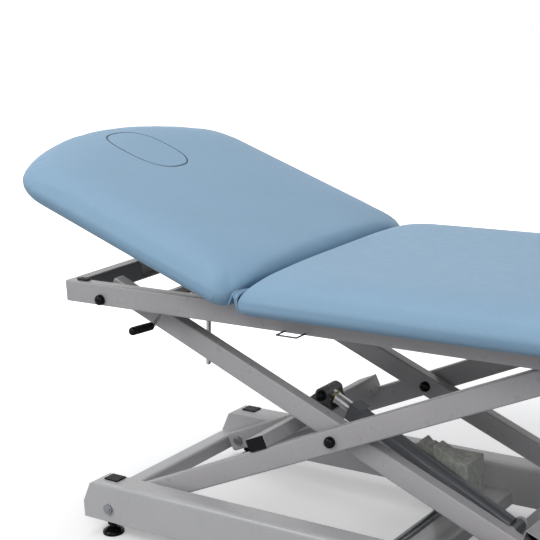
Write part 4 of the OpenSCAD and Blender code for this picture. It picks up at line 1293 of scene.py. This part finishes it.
class TABLE_OT_tubes(Operator):
    """Build the rails of the top frame and the arms of the scissor lift with rounded edges"""

    bl_idname = "table.tubes"
    bl_label = "Rails and arms"

    def execute(self, context):
        edge = context.scene.table_tubes.edge * 1000
        half = TUBE_WIDTH / 2
        rail = bar_between(
            0.0, RAIL_LENGTH, lambda i: round_rect(TUBE_WIDTH, TUBE_HEIGHT, edge, i), RAIL_END_ROUND
        )
        for name, y in (("rail_near", half), ("rail_far", FRAME_WIDTH - half)):
            rings = [[(x, y + a, b - TUBE_HEIGHT / 2) for a, b in shape] for x, shape in rail]
            self.tube(name, rings, "top_frame")
        c, s = math.cos(LIFT_ANGLE), math.sin(LIFT_ANGLE)
        arms = (
            ("outer_arm_near", OUTER_ARM_Y, -1, "outer_arms"),
            ("outer_arm_far", FRAME_WIDTH - OUTER_ARM_Y - TUBE_WIDTH, -1, "outer_arms"),
            ("inner_arm_near", INNER_ARM_Y, 1, "inner_arms"),
            ("inner_arm_far", FRAME_WIDTH - INNER_ARM_Y - TUBE_WIDTH, 1, "inner_arms"),
        )
        for name, y0, turn, body in arms:
            rings = []
            arm = bar_between(
                y0,
                y0 + TUBE_WIDTH,
                lambda i: round_rect(2 * ARM_HALF, TUBE_HEIGHT, ARM_END_ROUND, i, 8),
                edge,
            )
            for y, shape in arm:
                ring = []
                for a, b in shape:
                    x = ARM_MIDDLE[0] + a * c + b * s * turn
                    z = ARM_MIDDLE[1] - a * s * turn + b * c
                    ring.append((x, y, z))
                rings.append(ring)
            self.tube(name, rings, body)
        return {"FINISHED"}

    def tube(self, name, rings, body):
        """Painted tube that stands for the frame node of its name."""
        points, faces = stacked(rings)
        piece = new_piece(name + "_tube", metres(points), faces, "frame_paint")
        settle(piece, body, "frame_paint", name)


class TABLE_OT_plates(Operator):
    """Finish the cross tubes, brackets, base and hydraulics of the frame with rounded edges"""

    bl_idname = "table.plates"
    bl_label = "Crossbars, base and hydraulics"

    def execute(self, context):
        slots = {p["node"]: p["material_slot"] for p in frame["record"]["subparts"]}
        edges = dict.fromkeys(WIDE_EDGES, (2.2, 0.0))
        edges.update(dict.fromkeys(LONG_EDGES, (1.6, 12.0)))
        edges.update(dict.fromkeys(MEDIUM_EDGES, (1.0, 0.0)))
        # The plated wire loop gets a dark metal colour as painted reflection of dark surroundings; the ram's
        # rod a brighter plating.
        own = {"wire_loop": "dark_wire", "cylinder_rod": "bright_rod"}
        for node in sorted(set(frame["nodes"]) - OWN_PIECES):
            width, long_only = edges.get(node, (0.6, 0.0))
            piece = softened(node, slots[node], width, long_only)
            if node in own:
                piece.data.materials[0] = finish_of(own[node])
            # Painted shade on the ears under the seat, together with the eye's dark colour.
            if node in ("ram_bracket", "cylinder_rod"):
                self.darken_eye_shade_ears(piece)
        return {"FINISHED"}

    def darken_eye_shade_ears(self, piece):
        """The rod's eye and the two ears that hold it take a dark colour, whatever they are part of: the
        eye's own dark finish, and painted shade on the ears where they sit under the seat.
        """
        piece.data.materials.append(finish_of("eye_paint"))
        for face in piece.data.polygons:
            x, y, z = np.array(face.center) * 1000 + MIDDLE - EYE
            ear = piece.name.startswith("ram_bracket") and abs(y) < EAR_SPAN
            if ear or math.hypot(x, z) < EYE_RADIUS:
                face.material_index = 1


class TABLE_OT_caps(Operator):
    """Set the glossy domed caps on the pivot bolts"""

    bl_idname = "table.caps"
    bl_label = "Bolt caps"

    def execute(self, context):
        cap = turned_part("cap_form", CAP_DOME, "black_plastic", 48)
        x, z = RAIL_PIVOT
        near, far = -1, 1
        rail = ((x, 0.0, z, near), (x, FRAME_WIDTH, z, far))
        x, z = ARM_MIDDLE
        inner = INNER_ARM_Y + TUBE_WIDTH
        arms = (
            (x, OUTER_ARM_Y, z, near),
            (x, inner, z, far),
            (x, FRAME_WIDTH - OUTER_ARM_Y, z, far),
            (x, FRAME_WIDTH - inner, z, near),
            (EYE[0], MIDDLE_Y - EAR_REACH, EYE[2], near),
            (EYE[0], MIDDLE_Y + EAR_REACH, EYE[2], far),
        )
        groups = (
            ("rail_pivot_caps", rail, "top_frame", "top_pivot_caps"),
            ("arm_pivot_caps", arms, "outer_arms", "middle_caps"),
        )
        for name, places, body, node in groups:
            spots = []
            for x, y, z, side in places:
                spots.append((metres([(x, y + side * CAP_GAP, z)])[0], (-side * math.pi / 2, 0.0, 0.0)))
            settle(repeated(name, cap, spots, "black_plastic"), body, "black_plastic", node)
        discard(cap)
        return {"FINISHED"}


class TABLE_OT_grip(Operator):
    """Build the ribbed grip on the release lever"""

    bl_idname = "table.grip"
    bl_label = "Lever grip"

    def execute(self, context):
        profile = list(GRIP_FOOT)
        for i in range(GRIP_RIBS):
            profile += [(r, FIRST_RIB + RIB_PITCH * i + z) for r, z in GRIP_RIB]
        profile += GRIP_TIP
        grip = turned_part("lever_grip_ribbed", profile, "black_plastic", 44)
        turn = Matrix.Rotation(math.radians(86), 4, "X")
        grip.data.transform(Matrix.Translation(Vector(metres([GRIP_PLACE])[0])) @ turn)
        settle(grip, "lever", "black_plastic", "lever_grip")
        return {"FINISHED"}


class TABLE_OT_fastenings(Operator):
    """Set the staples, screws and weld beads under the table"""

    bl_idname = "table.fastenings"
    bl_label = "Staples, screws and welds"

    def execute(self, context):
        self.staples()
        self.screws()
        self.welds()
        return {"FINISHED"}

    def staples(self):
        """Staples of the covers in a row along the edge of each underside, no two quite in line."""
        rings = [[(x / 1000, y / 1000, (z + w) / 1000) for y, w in STAPLE_WIRE] for x, z in STAPLE_LEGS]
        points, faces = stacked(rings)
        staple = new_piece("staple_form", points, faces, "steel")
        for body, length, name in (
            ("top_frame", SEAT_LENGTH, "seat_staples"),
            ("head_section", HEAD_LENGTH, "head_staples"),
        ):
            outline = cushion_outline(length, STAPLE_INSET, STAPLE_INSET)
            path = np.array(outline + outline[:1])
            far = np.concatenate([[0], np.cumsum(np.hypot(*np.diff(path, axis=0).T))])
            count = int(far[-1] / STAPLE_PITCH)
            spots = []
            for k in range(count):
                s = (k + 0.5) * far[-1] / count
                x, y = np.interp(s, far, path[:, 0]), np.interp(s, far, path[:, 1])
                x2, y2 = np.interp(s + 2, far, path[:, 0]), np.interp(s + 2, far, path[:, 1])
                heading = math.atan2(y2 - y, x2 - x) + 0.12 * math.sin(k * 2.3)
                if body == "top_frame":
                    place = metres(seat_place([(x, y, 0.0)]))[0]
                    turn = (0.0, 0.0, heading)
                else:
                    place = metres(raised(head_place([(x, y, 0.0)])))[0]
                    tilt = Matrix.Rotation(HEAD_ANGLE, 3, "Y")
                    turn = tuple((tilt @ Matrix.Rotation(math.pi - heading, 3, "Z")).to_euler())
                spots.append((place, turn))
            settle(repeated(name, staple, spots, "steel"), body, "steel")
        discard(staple)

    def screws(self):
        """Screws that hold the head section's frame to its board, drawn lying flat."""
        screw = turned_part("screw_form", SCREW_HEAD, "steel", 20)
        places = [(x, y, -16.0) for x in (96.0, 330.0, 470.0) for y in (137.0, FRAME_WIDTH - 137.0)]
        spots = [(place, (0.0, HEAD_ANGLE, 0.0)) for place in metres(raised(places))]
        settle(repeated("head_frame_screws", screw, spots, "steel"), "head_section", "steel")
        discard(screw)

    def welds(self):
        """Weld beads where the crossbars meet the rails."""
        lines = []
        for y in (TUBE_WIDTH + WELD_PROUD, FRAME_WIDTH - TUBE_WIDTH - WELD_PROUD):
            for x, low, high, count in UPRIGHT_WELDS:
                lines.append(metres([(x, y, z) for z in np.linspace(low, high, count)]))
            lines.append(metres([(x, y, -50.2) for x in np.linspace(569, 595, 10)]))
        piece = beads("frame_weld_beads", lines, "frame_paint", ripple=0.25)
        settle(piece, "top_frame", "frame_paint")


class TABLE_OT_stage(Operator):
    """Set the floor, the soft lights and the camera"""

    bl_idname = "table.stage"
    bl_label = "Stage"

    def execute(self, context):
        stage = context.scene.table_stage
        self.camera(context.scene, stage)
        self.floor(stage)
        for name, place, aim, size, share in KEY_LAMPS:
            self.light(name, place, aim, size, share * stage.key_power)
        self.light("overhead", (-1.2, 0.3, 5.0), (0.0, 0.0, 0.6), (4.0, 3.4), stage.top_power)
        self.world(context.scene, stage)
        context.scene.view_settings.view_transform = "Standard"
        return {"FINISHED"}

    def camera(self, scene, stage):
        """Camera at the photograph's viewing angle."""
        data = bpy.data.cameras.new("camera")
        data.lens = stage.lens
        data.sensor_width = 36.0
        data.clip_end = 60.0
        camera = bpy.data.objects.new("camera", data)
        yaw, pitch, roll = stage.yaw, stage.pitch, stage.roll
        ahead = Vector((-math.sin(yaw), math.cos(yaw), 0))
        right = Vector((math.cos(yaw), math.sin(yaw), 0))
        up = Vector((0, 0, 1))
        look = math.cos(pitch) * ahead - math.sin(pitch) * up
        top = math.sin(pitch) * ahead + math.cos(pitch) * up
        side = math.cos(roll) * right + math.sin(roll) * top
        top = -math.sin(roll) * right + math.cos(roll) * top
        turn = Matrix((side, top, -look)).transposed()
        camera.matrix_world = Matrix.Translation(Vector(stage.camera_place)) @ turn.to_4x4()
        scene.collection.objects.link(camera)
        scene.camera = camera

    def floor(self, stage):
        """Wide floor; only the camera sees it fade to white away from the table's shadow."""
        marks = [-FLOOR_SIZE + 2 * FLOOR_SIZE * i / FLOOR_CELLS for i in range(FLOOR_CELLS + 1)]
        points = [(x, y, 0.0) for y in marks for x in marks]
        row = FLOOR_CELLS + 1
        corners = [j * row + i for j in range(FLOOR_CELLS) for i in range(FLOOR_CELLS)]
        mesh = bpy.data.meshes.new("floor")
        mesh.from_pydata(points, [], [(a, a + 1, a + row + 1, a + row) for a in corners])
        floor = bpy.data.objects.new("floor", mesh)
        material = floor_finish("pale_floor", stage.floor)
        tree = material.node_tree
        shader = find_node(tree, "BSDF_PRINCIPLED")
        bounce = add_node(tree, "ShaderNodeBsdfDiffuse", {"Color": (*stage.bounce, 1)})
        path = add_node(tree, "ShaderNodeLightPath")
        place = add_node(tree, "ShaderNodeTexCoord")
        away = add_node(tree, "ShaderNodeVectorMath", operation="LENGTH")
        reach = {"From Min": 0.7, "From Max": 2.0, "To Min": 0.3, "To Max": 1.0}
        fade = add_node(tree, "ShaderNodeMapRange", reach, interpolation_type="SMOOTHSTEP")
        glow = add_node(tree, "ShaderNodeEmission")
        both = add_node(tree, "ShaderNodeAddShader")
        mirrored = add_node(tree, "ShaderNodeMixShader")
        seen = add_node(tree, "ShaderNodeMixShader")
        wire(
            tree,
            (place, "Object", away, 0),
            (away, "Value", fade, "Value"),
            (fade, "Result", glow, "Strength"),
            (shader, "BSDF", both, 0),
            (glow, "Emission", both, 1),
            (path, "Is Glossy Ray", mirrored, 0),
            (bounce, "BSDF", mirrored, 1),
            (shader, "BSDF", mirrored, 2),
            (path, "Is Camera Ray", seen, 0),
            (mirrored, "Shader", seen, 1),
            (both, "Shader", seen, 2),
            (seen, "Shader", find_node(tree, "OUTPUT_MATERIAL"), "Surface"),
        )
        mesh.materials.append(material)
        bpy.context.scene.collection.objects.link(floor)

    def light(self, name, place, target, size, power):
        """Soft box that points at a target."""
        data = bpy.data.lights.new(name, "AREA")
        data.shape = "RECTANGLE"
        data.size, data.size_y = size
        data.energy = power
        lamp = bpy.data.objects.new(name, data)
        lamp.location = place
        lamp.rotation_euler = (Vector(target) - Vector(place)).to_track_quat("-Z", "Y").to_euler()
        bpy.context.scene.collection.objects.link(lamp)

    def world(self, scene, stage):
        """Even pale light from all round, plain white to the camera, reflections and glass."""
        world = bpy.data.worlds.new("studio")
        world.use_nodes = True
        tree = world.node_tree
        soft = find_node(tree, "BACKGROUND")
        soft.inputs["Color"].default_value = (0.97, 0.985, 1.0, 1)
        soft.inputs["Strength"].default_value = stage.sky
        white = add_node(tree, "ShaderNodeBackground", {"Color": (1, 1, 1, 1), "Strength": 1.0})
        path = add_node(tree, "ShaderNodeLightPath")
        seen = add_node(tree, "ShaderNodeMath", operation="MAXIMUM")
        through = add_node(tree, "ShaderNodeMath", operation="MAXIMUM")
        mix = add_node(tree, "ShaderNodeMixShader")
        wire(
            tree,
            (path, "Is Camera Ray", seen, 0),
            (path, "Is Glossy Ray", seen, 1),
            (seen, 0, through, 0),
            (path, "Is Transmission Ray", through, 1),
            (through, 0, mix, 0),
            (soft, "Background", mix, 1),
            (white, "Background", mix, 2),
            (mix, 0, find_node(tree, "OUTPUT_WORLD"), "Surface"),
        )
        scene.world = world


OPERATORS = (
    TABLE_OT_stage,
    TABLE_OT_seat_cushion,
    TABLE_OT_head_cushion,
    TABLE_OT_hinge_gussets,
    TABLE_OT_tubes,
    TABLE_OT_plates,
    TABLE_OT_caps,
    TABLE_OT_grip,
    TABLE_OT_fastenings,
)


class VIEW3D_PT_treatment_table(Panel):
    """Lists the pieces of the table in the sidebar"""

    bl_label = "Treatment Table"
    bl_idname = "VIEW3D_PT_treatment_table"
    bl_space_type = "VIEW_3D"
    bl_region_type = "UI"
    bl_category = "Table"

    def draw(self, context):
        scene = context.scene
        groups = {"Covers": scene.table_covers, "Tubes": scene.table_tubes, "Stage": scene.table_stage}
        for title, settings in groups.items():
            box = self.layout.box()
            box.label(text=title)
            for key in settings.__annotations__:
                box.prop(settings, key)
        for operator in OPERATORS:
            self.layout.operator(operator.bl_idname)


GROUPS = (TableCovers, TableTubes, TableStage)


def register():
    for item in GROUPS + OPERATORS + (VIEW3D_PT_treatment_table,):
        bpy.utils.register_class(item)
    bpy.types.Scene.table_covers = PointerProperty(type=TableCovers)
    bpy.types.Scene.table_tubes = PointerProperty(type=TableTubes)
    bpy.types.Scene.table_stage = PointerProperty(type=TableStage)


def unregister():
    for key in ("table_covers", "table_tubes", "table_stage"):
        delattr(bpy.types.Scene, key)
    for item in reversed(GROUPS + OPERATORS + (VIEW3D_PT_treatment_table,)):
        bpy.utils.unregister_class(item)


def main():
    """Builds the stage and every piece in order."""
    register()
    bpy.ops.table.stage()
    bpy.ops.table.seat_cushion()
    bpy.ops.table.head_cushion()
    bpy.ops.table.hinge_gussets()
    bpy.ops.table.tubes()
    bpy.ops.table.plates()
    bpy.ops.table.caps()
    bpy.ops.table.grip()
    bpy.ops.table.fastenings()


if __name__ == "__main__":
    main()
